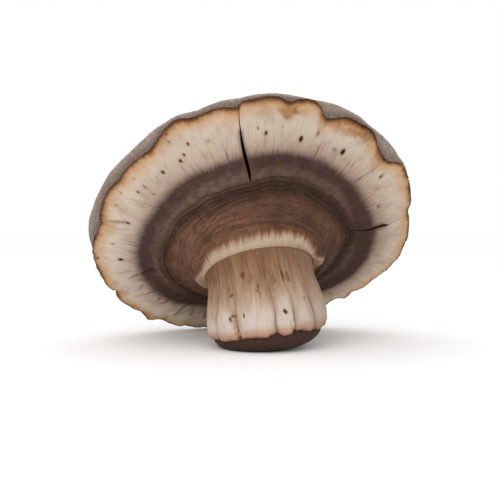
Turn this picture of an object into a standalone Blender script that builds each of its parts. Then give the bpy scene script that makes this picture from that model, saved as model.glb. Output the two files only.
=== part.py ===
"""Portobello mushroom, picked, resting on the foot of its stem and on the back rim of its cap.

Two pieces: the broad tilted cap, hollowed by a shallow seat on its underside, and the thick stem
that stands in that seat. Metres, +Z up. The origin is the middle of the flat face under the foot,
+Y points away from the side on which the underside shows, and +X to the right of that side.

Both pieces are lofted through tilted rings. A ring is a circle with a centre, a tilt about the X
axis and a roll, and an angle on it runs from 0 at the right through 90 at the top.
"""
import math

import bmesh
import bpy
from mathutils import Vector

MM = 0.001
FIT_GAP = 0.3                # between the stem's top and the seat in the cap
SHARP_ANGLE = 50.0           # degrees between two faces past which their edge looks sharp

# Rings, in mm and degrees: centre, tilt and roll
RIM_RING = ((-1.4, 21.1, 40.5), 43.9, 11.5)      # plane of the cap's rim
DISC_RING = ((0.6, 9.9, 27.4), 35.2, 8.5)        # where the brown disc meets the pale collar
SEAT_RING = ((0.2, 9.5, 27.0), 24.0, 10.6)       # where the collar meets the stem

# Cap, in mm
CAP_RADIUS = 60.0
LIP_THICKNESS = 1.3
LIP_CURL = 0.8
LIP_HOLLOW = 1.0             # inwards from the dome's widest line to the hollow behind the lip
LIP_STEP = 0.8               # from the back of the lip to that hollow
DOME_RISE = 19.2
DISC_RADIUS = 21.7
STEM_TOP_RADIUS = 19.1
SEAT_DEPTH = 4.0

# Underside from the disc out to the rim: (radius, height below the rim's plane)
UNDERSIDE = [(33.3, 6.6), (38.2, 5.7), (43.3, 5.0), (51.0, 2.9)]
CONE = (27.5, 11.0)
NEAR_RIM = (2.2, 0.9)        # in from the rim's edge, and below its plane

# Dome from the widest line up to the crown: (inside the widest line, height above the rim's plane)
DOME_SIDE = [(0.0, 2.8), (1.6, 5.3), (4.6, 8.3)]
DOME_TOP = [(50.0, 11.7), (40.0, 15.0), (28.0, 17.5), (14.0, 18.8)]

# Wavy rim: (degrees, distance from the cap's axis), from the left of the main crack round to its right
RIM_OUTLINE = [
    (87.3, 58.4), (91, 59.6), (95, 60.3), (99, 59.8), (103, 60.0), (107, 61.5), (111, 60.7), (115, 59.0),
    (120, 56.8), (127, 57.1), (134, 57.4), (137, 57.1), (141, 58.1), (147, 58.3), (153, 57.9), (159, 57.2),
    (163, 57.8), (168, 59.3), (172, 60.1), (180, 60.6), (188, 60.9), (193, 60.6), (195.5, 59.8), (199, 61.0),
    (203, 61.6), (208, 61.0), (211.5, 60.1), (215, 61.2), (218, 62.0), (222, 59.2), (226, 60.1), (230, 59.7),
    (234, 58.5), (239, 57.9), (245, 57.8), (254, 56.4), (262, 57.4), (268, 58.9), (275, 58.0), (285, 57.4),
    (294, 56.6), (299, 56.6), (302.5, 58.6), (306, 58.2), (310, 59.9), (316, 60.3), (320, 61.4), (325, 62.0),
    (331, 62.3), (337, 61.8), (343, 61.0), (350, 59.6), (355, 58.6), (360, 59.4), (369, 59.7), (377, 59.5),
    (381, 58.8), (385, 55.9), (388, 55.4), (392, 56.1), (395, 57.6), (398, 59.4), (404, 59.4), (409, 59.4),
    (412, 58.3), (415, 56.4), (417.5, 56.8), (421, 60.5), (424, 61.8), (428, 61.4), (431.5, 60.1),
    (435, 61.8), (439, 62.0), (443, 61.3), (446, 61.0), (447.3, 59.8)]

# Widest line of the dome: (degrees, distance from the cap's axis)
DOME_OUTLINE = [
    (87.3, 60.2), (92, 60.4), (97, 60.0), (102, 59.8), (108, 60.8), (114, 60.3), (120, 59.5), (127, 59.1),
    (138, 59.7), (150, 60.0), (160, 60.6), (168, 60.8), (178, 60.1), (188, 59.9), (196, 59.2), (210, 59.3),
    (240, 59.3), (270, 59.3), (300, 59.3), (325, 59.6), (345, 59.1), (355, 58.7), (360, 59.2), (368, 59.8),
    (376, 60.0), (383, 59.4), (392, 59.2), (399, 59.4), (405, 60.1), (409, 60.3), (414, 60.2), (421, 60.2),
    (430, 60.6), (437, 61.2), (447.3, 60.2)]

# Two splits in the underside: the angle, then for each line of the underside, from the cone out to
# the curled lip, how far the split wanders in degrees, its half width and its depth in mm
CRACK_START = 87.3
MAIN_CRACK = {
    "angle": CRACK_START,
    "wander": [-0.8, -0.8, -0.4, 0.4, 0.6, -0.1, -0.3, -0.3],
    "half_width": [0.3, 0.45, 0.8, 0.75, 0.35, 0.2, 0.2, 0.3],
    "depth": [0.0, 0.8, 5.0, 6.0, 4.0, 1.5, 0.6, 0.2]}
SIDE_CRACK = {
    "angle": 352.0,
    "wander": [2.5, 2.0, 0.6, 0.0, -0.4, 0.0, 0.0, 0.0],
    "half_width": [0.4, 0.35, 0.4, 0.45, 0.35, 0.3, 0.3, 0.5],
    "depth": [0.0, 1.2, 2.0, 2.4, 1.2, 0.3, 0.0, 0.0]}
CRACKS = [MAIN_CRACK, SIDE_CRACK]
CRACK_SPREAD = 18.0          # degrees over which the lines beside a split wander with it
CRACK_EDGE = 1.2             # degrees from a split's middle to its sides, where it has no width
CRACK_GUARD = 2.6            # degrees from a split's middle to the first plain line beside it
RIM_STEP = 0.2               # degrees from a split's middle to its sides where the rim steps across it
PLAIN_STEP = 3.1             # degrees between plain lines
CAP_STEPS = [1, 2, 2, 2, 1, 1, 2, 2]     # faces on each stretch from the seat out to the rim, then 1 each
CAP_FIRST_ROWS = [3, 7, 9, 14]     # first rows of faces of the disc, dark band, cream band and skin

# Stem below the seat: (centre, radius, tilt, roll, share of the full crease depth)
STEM_RINGS = [
    ((0.9, 7.6, 22.5), 19.2, 17.0, 9.0, 0.1),
    ((1.6, 6.0, 18.5), 20.0, 12.0, 8.5, 0.3),
    ((2.2, 4.3, 14.0), 20.8, 7.0, 8.0, 0.6),
    ((2.8, 3.0, 9.6), 21.0, 3.0, 7.0, 1.0),
    ((3.2, 2.2, 5.7), 19.7, 0.0, 6.2, 1.0),      # edge of the toes
    ((3.1, 2.0, 4.9), 19.1, 0.0, 6.0, 0.3),      # dark foot under them
    ((2.5, 1.3, 2.4), 17.1, 0.0, 4.0, 0.0),
    ((1.0, 0.6, 0.8), 14.3, 0.0, 2.0, 0.0)]
TOE_RING = 4
FOOT_RADIUS = 10.5
STEM_STEPS = [1, 2, 2, 2, 2, 3, 1, 1, 1, 1]     # faces on each stretch from the top down to the foot
FOOT_FIRST_ROW = 12          # first row of faces of the dark foot

# Creases between the toes, in degrees round the stem
CREASES = [10, 36, 62, 81, 100, 119, 152, 178, 203, 226, 250, 272, 296, 318, 344]
CREASE_DEPTH = 1.1
CREASE_SIDE = 1.7            # degrees from a crease to where it has risen most of the way
SIDE_SHARES = (0.3, 0.2)     # shares of the crease's depth and of the toe's bulge left there
TOE_LINES = (0.27, 0.5, 0.73)     # lines over a toe, as shares of the way from crease to crease
TOE_BULGE = 0.35
TOE_SCALLOP = 0.9            # how much higher the toes' edge sits at a crease


def ring_axes(tilt, roll):
    """The ring's right and up directions, and its downward normal."""
    t = math.radians(tilt)
    r = math.radians(roll)
    right = Vector((math.cos(r), 0.0, math.sin(r)))
    up = Vector((-math.sin(t) * math.sin(r), -math.cos(t), math.sin(t) * math.cos(r)))
    down = Vector((math.cos(t) * math.sin(r), -math.sin(t), -math.cos(t) * math.cos(r)))
    return right, up, down


def ring_point(ring, angle, radius, below=0.0):
    """Point at an angle and a radius on a ring, moved below its plane."""
    centre, tilt, roll = ring
    right, up, down = ring_axes(tilt, roll)
    a = math.radians(angle)
    return Vector(centre) + right * (radius * math.cos(a)) + up * (radius * math.sin(a)) + down * below


def outline_at(outline, angle):
    """Smooth curve through an outline that runs once round from the main crack."""
    x = (angle - CRACK_START) % 360.0 + CRACK_START
    k = 0
    while k < len(outline) - 2 and outline[k + 1][0] < x:
        k += 1
    (x0, y0), (x1, y1) = outline[k], outline[k + 1]
    before = outline[max(k - 1, 0)]
    after = outline[min(k + 2, len(outline) - 1)]
    slope0 = (y1 - before[1]) / (x1 - before[0])
    slope1 = (after[1] - y0) / (after[0] - x0)
    span = x1 - x0
    t = (x - x0) / span
    return ((2 * t**3 - 3 * t**2 + 1) * y0 + (t**3 - 2 * t**2 + t) * span * slope0
            + (3 * t**2 - 2 * t**3) * y1 + (t**3 - t**2) * span * slope1)


def smooth_column(points, steps):
    """Curve through points, with each stretch between two of them cut into its own number of steps."""
    column = []
    last = len(points) - 1
    for k, count in enumerate(steps):
        p0, p1, p2, p3 = (points[min(max(k + j, 0), last)] for j in (-1, 0, 1, 2))
        for i in range(count):
            t = i / count
            column.append(0.5 * (2 * p1 + (p2 - p0) * t + (2 * p0 - 5 * p1 + 4 * p2 - p3) * t**2
                                 + (3 * p1 - p0 - 3 * p2 + p3) * t**3))
    column.append(points[last])
    return column


def lofted_object(name, columns, first_pole, last_pole, materials, material_of_row):
    """Closed solid from columns of points that go round, with a pole at each end."""
    bm = bmesh.new()
    grid = [[bm.verts.new(p * MM) for p in column] for column in columns]
    start = bm.verts.new(first_pole * MM)
    end = bm.verts.new(last_pole * MM)
    rows = len(columns[0])
    for c, column in enumerate(grid):
        beside = grid[(c + 1) % len(grid)]
        bm.faces.new((start, column[0], beside[0])).material_index = material_of_row(0)
        for r in range(rows - 1):
            corners = (column[r], column[r + 1], beside[r + 1], beside[r])
            bm.faces.new(corners).material_index = material_of_row(r)
        bm.faces.new((column[-1], end, beside[-1])).material_index = material_of_row(rows - 1)
    bmesh.ops.triangulate(bm, faces=[f for f in bm.faces if len(f.verts) > 3])
    bmesh.ops.recalc_face_normals(bm, faces=bm.faces)
    mesh = bpy.data.meshes.new(name)
    bm.to_mesh(mesh)
    bm.free()
    mesh.shade_smooth()
    mesh.set_sharp_from_angle(angle=math.radians(SHARP_ANGLE))
    for material in materials:
        mesh.materials.append(material)
    obj = bpy.data.objects.new(name, mesh)
    bpy.context.collection.objects.link(obj)
    return obj


def plain_material(name, colour, roughness):
    """Principled material for one surface."""
    material = bpy.data.materials.new(name)
    material.use_nodes = True
    shader = material.node_tree.nodes["Principled BSDF"]
    shader.inputs["Base Color"].default_value = (*colour, 1.0)
    shader.inputs["Roughness"].default_value = roughness
    shader.inputs["Metallic"].default_value = 0.0
    material.diffuse_color = (*colour, 1.0)
    return material


def cap_lines():
    """Lines from the stem out to the rim: (angle, crack or None, side from -1 to 1 or guard)."""
    lines = []
    for crack in CRACKS:
        middle = crack["angle"]
        lines += [(middle - CRACK_GUARD, None, 0), (middle + CRACK_GUARD, None, 0)]
        lines += [(middle, crack, side) for side in (-1, 0, 1)]
    ends = sorted(crack["angle"] for crack in CRACKS)
    for start, stop in zip(ends, ends[1:] + [ends[0] + 360.0]):
        first = start + CRACK_GUARD
        span = stop - CRACK_GUARD - first
        count = round(span / PLAIN_STEP)
        lines += [(first + span * k / count, None, 0) for k in range(1, count)]
    return sorted(lines, key=lambda line: (line[0] % 360.0, line[2]))


def cap_angle(line, row, radius):
    """Angle of a line where it crosses one of the underside's rows."""
    angle, crack, side = line
    for split in CRACKS:
        away = (angle - split["angle"] + 180.0) % 360.0 - 180.0
        closeness = max(0.0, 1.0 - abs(away) / CRACK_SPREAD)
        smooth = closeness * closeness * (3.0 - 2.0 * closeness)
        angle += split["wander"][row] * smooth
    if crack:
        angle += side * math.degrees(crack["half_width"][row] / radius)
    return angle


def cap_column(line):
    """Points of the cap along one line, from the seat's ceiling round the rim to the crown."""
    middle, crack, side = line
    plain = middle + side * CRACK_EDGE
    rim = outline_at(RIM_OUTLINE, middle + side * RIM_STEP)
    groove = 1.0 if crack and side == 0 else 0.0
    seat = STEM_TOP_RADIUS + FIT_GAP
    points = [
        ring_point(SEAT_RING, plain, seat, -SEAT_DEPTH - FIT_GAP),
        ring_point(SEAT_RING, plain, seat),
        ring_point(DISC_RING, plain, DISC_RADIUS)]
    rows = [CONE] + UNDERSIDE
    for row, (radius, below) in enumerate(rows):
        depth = groove * crack["depth"][row] if crack else 0.0
        points.append(ring_point(RIM_RING, cap_angle(line, row, radius), radius, below - depth))
    near = len(rows)
    for row, (inside, below) in enumerate([NEAR_RIM, (0.0, 0.0), (LIP_CURL, -LIP_THICKNESS)], near):
        angle = cap_angle(line, row, CAP_RADIUS)
        depth = groove * crack["depth"][row] if crack else 0.0
        inside += depth if row > near else 0.0
        below -= depth if row == near else 0.0
        points.append(ring_point(RIM_RING, angle, rim - inside, below))
    widest = outline_at(DOME_OUTLINE, plain)
    under_lip = min(rim - LIP_CURL, widest - LIP_HOLLOW)
    points.append(ring_point(RIM_RING, plain, under_lip, -LIP_THICKNESS - LIP_STEP))
    points += [ring_point(RIM_RING, plain, widest - inside, -above) for inside, above in DOME_SIDE]
    points += [ring_point(RIM_RING, plain, radius, -above) for radius, above in DOME_TOP]
    return smooth_column(points, CAP_STEPS + [1] * (len(points) - 1 - len(CAP_STEPS)))


def build_cap():
    """The cap: seat, pale collar, brown disc, dark band, cream band with a curled lip, and dome."""
    materials = [
        plain_material("collar fibres", (0.42, 0.33, 0.25), 0.9),
        plain_material("brown disc", (0.14, 0.07, 0.05), 0.8),
        plain_material("dark band", (0.06, 0.035, 0.03), 0.8),
        plain_material("cream flesh", (0.55, 0.45, 0.36), 0.75),
        plain_material("cap skin", (0.30, 0.25, 0.22), 0.7)]

    def material_of_row(row):
        return sum(row >= first for first in CAP_FIRST_ROWS)

    columns = [cap_column(line) for line in cap_lines()]
    ceiling = ring_point(SEAT_RING, 0.0, 0.0, -SEAT_DEPTH - FIT_GAP)
    crown = ring_point(RIM_RING, 0.0, 0.0, -DOME_RISE)
    return lofted_object("cap", columns, ceiling, crown, materials, material_of_row)


def stem_lines():
    """Lines down the stem: (angle, share of the crease there, share of the toe's bulge there)."""
    lines = []
    for start, stop in zip(CREASES, CREASES[1:] + [CREASES[0] + 360]):
        span = stop - start
        lines.append((start, 1.0, 0.0))
        lines.append((start + CREASE_SIDE, *SIDE_SHARES))
        lines += [(start + span * u, 0.0, math.sin(math.pi * u)) for u in TOE_LINES]
        lines.append((stop - CREASE_SIDE, *SIDE_SHARES))
    return lines


def stem_column(line):
    """Points of the stem along one line, from its top in the seat down to the foot's flat face."""
    angle, crease, bulge = line
    points = [
        ring_point(SEAT_RING, angle, STEM_TOP_RADIUS, -SEAT_DEPTH),
        ring_point(SEAT_RING, angle, STEM_TOP_RADIUS)]
    for k, (centre, radius, tilt, roll, share) in enumerate(STEM_RINGS):
        out = share * (TOE_BULGE * bulge - CREASE_DEPTH * crease)
        point = ring_point((centre, tilt, roll), angle, radius + out)
        if k == TOE_RING:
            point.z += TOE_SCALLOP * (0.5 - bulge)
        points.append(point)
    points.append(ring_point(((0.0, 0.0, 0.0), 0.0, 0.0), angle, FOOT_RADIUS))
    return smooth_column(points, STEM_STEPS)


def build_stem():
    """The stem: a thick stalk that ends in rounded toes over a dark foot with a flat face."""
    materials = [
        plain_material("stem flesh", (0.50, 0.40, 0.32), 0.8),
        plain_material("dark foot", (0.06, 0.035, 0.025), 0.85)]

    def material_of_row(row):
        return 1 if row >= FOOT_FIRST_ROW else 0

    columns = [stem_column(line) for line in stem_lines()]
    top = ring_point(SEAT_RING, 0.0, 0.0, -SEAT_DEPTH)
    return lofted_object("stem", columns, top, Vector((0.0, 0.0, 0.0)), materials, material_of_row)


def main():
    for obj in list(bpy.data.objects):
        bpy.data.objects.remove(obj, do_unlink=True)
    build_cap()
    build_stem()


main()
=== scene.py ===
# %% [markdown]
# # A picked portobello, seen from below
#
# The mushroom stands on the foot of its stem and leans on the back rim of its cap, so the camera looks up at
# its underside. The real one is two bodies that part by hand, the cap and the stem, and each is one closed
# mesh here. Fine fibres, too many to be solids, are made by Geometry Nodes and joined into plain meshes.
#
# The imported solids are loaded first. They fix the place and the size of everything, and each mesh below
# follows the rings that the solids were lofted through, so it takes the place of its solid exactly.

import math
from types import SimpleNamespace

import bpy
import numpy as np
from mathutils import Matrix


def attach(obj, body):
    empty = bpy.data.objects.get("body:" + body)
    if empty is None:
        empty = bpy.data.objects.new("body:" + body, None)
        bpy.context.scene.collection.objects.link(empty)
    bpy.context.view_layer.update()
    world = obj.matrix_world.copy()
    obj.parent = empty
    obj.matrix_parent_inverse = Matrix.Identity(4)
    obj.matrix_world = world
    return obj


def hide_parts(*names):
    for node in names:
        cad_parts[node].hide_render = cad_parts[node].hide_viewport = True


MM = 0.001
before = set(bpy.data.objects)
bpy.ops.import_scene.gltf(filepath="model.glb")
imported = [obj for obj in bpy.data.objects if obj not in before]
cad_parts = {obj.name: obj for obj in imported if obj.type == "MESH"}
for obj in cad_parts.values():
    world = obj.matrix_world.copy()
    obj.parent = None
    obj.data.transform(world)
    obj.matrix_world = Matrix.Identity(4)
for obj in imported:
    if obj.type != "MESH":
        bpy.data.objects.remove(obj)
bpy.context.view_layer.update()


# %% [markdown]
# ## Rings and outlines
#
# Cap and stem grow round tilted circles. A ring has a centre in mm, a tilt about the X axis and a roll, and
# the angle on it runs from 0 at the right through 90 at the top. One function gives points on a ring, and
# another reads a wavy outline, given as a few points round the ring, as a smooth curve. Both work on whole
# arrays of angles at once, because the finished meshes have about a hundred thousand points.

# %% Rings and outlines
RIM_RING = ((-1.4, 21.1, 40.5), 43.9, 11.5)      # plane of the cap's rim
DISC_RING = ((0.6, 9.9, 27.4), 35.2, 8.5)        # where the brown disc meets the pale collar
SEAT_RING = ((0.2, 9.5, 27.0), 24.0, 10.6)       # where the collar meets the stem


def ring_axes(ring):
    """The ring's right and up directions, and its downward normal."""
    tilt, roll = math.radians(ring[1]), math.radians(ring[2])
    right = np.array((math.cos(roll), 0.0, math.sin(roll)))
    up = np.array((-math.sin(tilt) * math.sin(roll), -math.cos(tilt), math.sin(tilt) * math.cos(roll)))
    return right, up, np.cross(right, up)


def on_ring(ring, angle, radius, below):
    """Points in mm at angles and radii on a ring, moved below its plane."""
    right, up, down = ring_axes(ring)
    turn = np.radians(angle)
    across, along, drop = np.broadcast_arrays(radius * np.cos(turn), radius * np.sin(turn), below)
    return np.array(ring[0]) + across[..., None] * right + along[..., None] * up + drop[..., None] * down


def turned_from(angle, middle):
    """Signed degrees from one angle to another, the short way round."""
    return (angle - middle + 180.0) % 360.0 - 180.0


def curve(table, place):
    """Smooth curve through a table of (place, value), level beyond both ends."""
    at, value = np.array(table, float).T
    x = np.clip(np.asarray(place, float), at[0], at[-1])
    k = np.clip(np.searchsorted(at, x, side="right") - 1, 0, len(at) - 2)
    before, after = np.maximum(k - 1, 0), np.minimum(k + 2, len(at) - 1)
    slope0 = (value[k + 1] - value[before]) / (at[k + 1] - at[before])
    slope1 = (value[after] - value[k]) / (at[after] - at[k])
    span = at[k + 1] - at[k]
    t = (x - at[k]) / span
    return ((2 * t**3 - 3 * t**2 + 1) * value[k] + (t**3 - 2 * t**2 + t) * span * slope0
            + (3 * t**2 - 2 * t**3) * value[k + 1] + (t**3 - t**2) * span * slope1)


def outline_at(outline, angle):
    """Smooth curve through an outline that runs once round from its first angle."""
    start = outline[0][0]
    return curve(outline, (np.asarray(angle, float) - start) % 360.0 + start)


def smooth(value, start, stop):
    """0 before start and 1 after stop, with a soft step between them."""
    t = np.clip((np.asarray(value, float) - start) / (stop - start), 0.0, 1.0)
    return t * t * (3.0 - 2.0 * t)


def waves(angle, fewest, most, seed, drift=0.0):
    """Uneven wave round the ring, about -1 to 1, from whole numbers of waves per turn."""
    rng = np.random.default_rng(seed)
    counts = rng.integers(fewest, most, 24)
    phases = rng.uniform(0.0, 2.0 * math.pi, 24)
    turn = np.radians(angle)
    total = sum(np.sin(turn * n + p + drift * n / most) for n, p in zip(counts, phases))
    return total / math.sqrt(2.0 * len(counts))


print("down from the cap's rim:", ring_axes(RIM_RING)[2].round(2))


# %% [markdown]
# ## A skin of rows and lines
#
# Both bodies are made the same way: lines run from one end to the other, rows run round, and each row is a
# place on a smooth curve through a few rings. Points could be spread evenly, but a hairline a quarter of a mm
# wide would then fall between two lines. So each split brings lines of its own, close together and bent along
# it, and its neighbours bend with it less and less.

# %% Rows and lines
SIDE_RADIUS = 50.0           # mm, where the lines beside a split lie as far from it as they are given


def row_places(steps):
    """(stretch, share along it) of each row, when each stretch of the curve is cut into so many steps."""
    places = [(k, i / count) for k, count in enumerate(steps) for i in range(count)]
    return places + [(len(steps) - 1, 1.0)]


def smooth_row(control, lengths, k, t):
    """Values a share t along stretch k of a smooth curve. control(k) gives them at the start of stretch k."""
    def slope(j):
        if j == 0:
            return (control(1) - control(0)) / lengths[0]
        if j == len(lengths):
            return (control(j) - control(j - 1)) / lengths[-1]
        before, after = lengths[j - 1], lengths[j]
        rise = (control(j) - control(j - 1)) / before * after + (control(j + 1) - control(j)) / after * before
        return rise / (before + after)

    return ((2 * t**3 - 3 * t**2 + 1) * control(k) + (t**3 - 2 * t**2 + t) * lengths[k] * slope(k)
            + (3 * t**2 - 2 * t**3) * control(k + 1) + (t**3 - t**2) * lengths[k] * slope(k + 1))


def spread_lines(splits, plain_step):
    """Angle, split number or -1, half widths and mm to the side, for every line once round."""
    lines = []
    order = sorted(range(len(splits)), key=lambda s: splits[s]["angle"])
    for here, after in zip(order, order[1:] + order[:1]):
        split, next_split = splits[here], splits[after]
        sides = sorted([(share, 0.0) for share in split["shares"]]
                       + [(sign, sign * mm) for mm in split["beside"] for sign in (-1.0, 1.0)],
                       key=lambda side: side[0] + side[1])
        lines += [(split["angle"], here, share, mm) for share, mm in sides]
        start = split["angle"] + split["guard"]
        stop = next_split["angle"] - next_split["guard"]
        span = (stop - start) % 360.0
        count = max(1, round(span / plain_step))
        lines += [(start + span * i / count, -1, 0.0, 0.0) for i in range(count + 1)]
    angle, split, share, beside = (np.array(values) for values in zip(*lines))
    return {"angle": angle, "split": split, "share": share, "beside": beside}


def bent_angles(lines, splits, place, radius):
    """Angles of all lines in one row, bent along the splits near them. place is where it meets each split."""
    angle = lines["angle"].copy()
    for number, split in enumerate(splits):
        wander = float(curve(split["path"], place[number])) - split["angle"]
        away = np.abs(turned_from(lines["angle"], split["angle"]))
        angle += wander * smooth(away, split["spread"], 0.0)
        own = lines["split"] == number
        width = np.array(split["width"], float)
        half = np.interp(place[number], width[:, 0], width[:, 1])
        angle[own] += np.degrees(lines["share"][own] * half / radius)
        angle[own] += np.degrees(lines["beside"][own] / SIDE_RADIUS)
    return angle


print("rows of two stretches cut in 2 and 1:", row_places([2, 1]))


# %% [markdown]
# The finished grid becomes a mesh with a pole at each end, so it is closed. It also carries what the
# materials need, such as the distance of each point from the rim. Faces that came out the wrong way round are
# turned.

# %% Grid meshes
def unit_vectors(vectors):
    """Vectors of length 1."""
    return vectors / np.maximum(np.linalg.norm(vectors, axis=2, keepdims=True), 1e-9)


def outward_normals(points, toward):
    """Unit normals of a grid of lines and rows, on the side that faces toward at the grid's middle."""
    around = np.roll(points, -1, 0) - np.roll(points, 1, 0)
    along = np.gradient(points, axis=1)
    normal = unit_vectors(np.cross(around, along))
    middle = normal[:, points.shape[1] // 3].mean(axis=0)
    return normal if middle @ toward > 0 else -normal


def grid_quads(count, rows):
    """Indices of a grid's points, of those on the next line round, and of its quads."""
    index = np.arange(count * rows).reshape(count, rows)
    beside = np.roll(index, -1, 0)
    quads = np.stack([index[:, :-1], index[:, 1:], beside[:, 1:], beside[:, :-1]], axis=2).reshape(-1, 4)
    return index, beside, quads


def linked_object(name, data):
    """New object in the scene."""
    made = bpy.data.objects.new(name, data)
    bpy.context.scene.collection.objects.link(made)
    return made


def grid_object(name, points, poles, materials, row_material, attributes):
    """Closed mesh object from a grid of points in mm, with a pole at each end and vector attributes."""
    count, rows = points.shape[:2]
    vertices = np.vstack([points.reshape(-1, 3), poles]) * MM
    index, beside, quads = grid_quads(count, rows)
    first, last = count * rows, count * rows + 1
    caps = ([(first, a, b) for a, b in zip(index[:, 0].tolist(), beside[:, 0].tolist())]
            + [(last, b, a) for a, b in zip(index[:, -1].tolist(), beside[:, -1].tolist())])
    faces = quads.tolist() + caps
    corners = vertices[quads]
    turned = np.cross(corners[:, 1], corners[:, 2]) + np.cross(corners[:, 2], corners[:, 3])
    volume = np.einsum("ij,ij->i", corners[:, 0], turned).sum()
    if volume < 0:
        faces = [face[::-1] for face in faces]
    mesh = bpy.data.meshes.new(name)
    mesh.from_pydata(vertices.tolist(), [], faces)
    mesh.shade_smooth()
    for material in materials:
        mesh.materials.append(material)
    slots = np.tile(row_material, count).tolist() + [row_material[0]] * count + [row_material[-1]] * count
    mesh.polygons.foreach_set("material_index", np.array(slots, np.int32))
    for key, values in attributes.items():
        ends = np.stack([values[:, 0].mean(axis=0), values[:, -1].mean(axis=0)])
        data = np.vstack([values.reshape(-1, 3), ends]).astype(np.float32)
        mesh.attributes.new(key, "FLOAT_VECTOR", "POINT").data.foreach_set("vector", data.ravel())
    mesh.update()
    print(name, "has", len(mesh.vertices), "points and", 2 * len(quads) + 2 * count, "triangles")
    return linked_object(name, mesh)


print("quads between 3 lines of 4 rows:", len(grid_quads(3, 4)[2]))


# %% [markdown]
# ## Colours and nodes
#
# Colours are written as sRGB hex codes, the way a picker gives them, and one function turns them into the
# linear values that the renderer adds up. Another adds a node with its settings and links. A few kinds of
# node recur so often that their settings, and the order in which their inputs are given, are listed once.
# Every pattern is measured in mm: the meshes carry attributes such as the distance from the rim, so a noise
# with scale 2 changes about every half mm.

# %% Colour and node helpers
def colour(code):
    """Linear RGBA of an sRGB hex code."""
    parts = [int(code[i:i + 2], 16) / 255.0 for i in (1, 3, 5)]
    return (*[c / 12.92 if c <= 0.04045 else ((c + 0.055) / 1.055) ** 2.4 for c in parts], 1.0)


# Kinds of node that recur: type, settings, the inputs that values fill in turn, and the output that is read.
# PLUS takes a value, another one, and how much of that is added. SOFT is a soft step of a value: where it is
# 0, where it is full, and how much that is, or 1. LAYER takes a colour, a factor and the colour laid over it.
TIMES = ("ShaderNodeMath", {"operation": "MULTIPLY"}, (0, 1), 0)
PLUS = ("ShaderNodeMath", {"operation": "MULTIPLY_ADD"}, (2, 0, 1), 0)
LESS = ("ShaderNodeMath", {"operation": "SUBTRACT"}, (0, 1), 0)
OVER = ("ShaderNodeMath", {"operation": "DIVIDE"}, (0, 1), 0)
PAST_WHOLE = ("ShaderNodeMath", {"operation": "FRACT"}, (0,), 0)
LARGER = ("ShaderNodeMath", {"operation": "MAXIMUM"}, (0, 1), 0)
SOFT = ("ShaderNodeMapRange", {"interpolation_type": "SMOOTHSTEP"}, (0, 1, 2, 4), 0)
LAYER = ("ShaderNodeMix", {"data_type": "RGBA"}, (6, 0, 7), 2)
STRETCHED = ("ShaderNodeVectorMath", {"operation": "MULTIPLY"}, (0, 1), 0)
THREE = ("ShaderNodeSeparateXYZ", {}, (0,), 0)
ATTRIBUTE = "ShaderNodeAttribute"
NOISE = "ShaderNodeTexNoise"
CREAM = "#c0b0a0"            # the flesh of the outer band


def add(tree, kind, *values, out=0, **settings):
    """Adds a node, sets its properties, fills its inputs with values or links, and returns one output. The
    inputs come in a dictionary or, for the kinds listed above, one after another."""
    if isinstance(kind, tuple):
        kind, settings, sockets, out = kind
        inputs = dict(zip(sockets, values))
    else:
        inputs = values[0] if values else {}
    made = tree.nodes.new(kind)
    for key, value in settings.items():
        setattr(made, key, value)
    for key, value in inputs.items():
        if isinstance(value, bpy.types.NodeSocket):
            tree.links.new(value, made.inputs[key])
        elif isinstance(value, str) and value.startswith("#"):
            made.inputs[key].default_value = colour(value)
        else:
            made.inputs[key].default_value = value
    return made.outputs[out]


def new_material(name, roughness, specular):
    """Empty node material, its tree and its Principled shader."""
    material = bpy.data.materials.new(name)
    material.use_nodes = True
    tree = material.node_tree
    shader = tree.nodes["Principled BSDF"]
    shader.inputs["Roughness"].default_value = roughness
    shader.inputs["Specular IOR Level"].default_value = specular
    return material, tree, shader


def product(tree, *values):
    """Product of several node values."""
    result = values[0]
    for value in values[1:]:
        result = add(tree, TIMES, result, value)
    return result


def stored_three(tree, name):
    """The three values of a vector that the mesh carries under a name."""
    return add(tree, THREE, add(tree, ATTRIBUTE, out="Vector", attribute_name=name)).node.outputs


def stretched_noise(tree, vector, stretch, scale, detail):
    """Noise from 0 to 1 on coordinates that are stretched along some axes."""
    moved = add(tree, STRETCHED, vector, stretch)
    return add(tree, NOISE, {"Vector": moved, "Scale": scale, "Detail": detail, "Roughness": 0.6})


def shifted(tree, value, *moves):
    """A distance in mm moved by noises, each up to half its amount either way."""
    for noise, amount in moves:
        value = add(tree, PLUS, value, add(tree, LESS, noise, 0.5), amount)
    return value


def coat(tree, shader, tone, height, strength):
    """Gives a shader its colour and a bump from heights in mm."""
    bump = add(tree, "ShaderNodeBump", {"Height": height, "Distance": MM, "Strength": strength})
    tree.links.new(tone, shader.inputs["Base Color"])
    tree.links.new(bump, shader.inputs["Normal"])


print("cream flesh is", [round(v, 3) for v in colour(CREAM)[:3]], "in linear light")


# %% [markdown]
# ## Flesh of the underside
#
# The underside is firm flesh, matte and a little velvety, in rings: a pale fibrous collar round the stem, a
# brown disc with fine lines round it, a few dark ledges, a taupe and a purple-brown band, and a broad cream
# band with streaks that fan out to an orange-brown, dried edge. A painted map could hold that, but a colour
# worked out from the distance to each ring stays sharp at any size and follows the rim's waves. The purple
# edge and the collar's edge are moved by a noise that is drawn out along the radius, which frays them.

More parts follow.
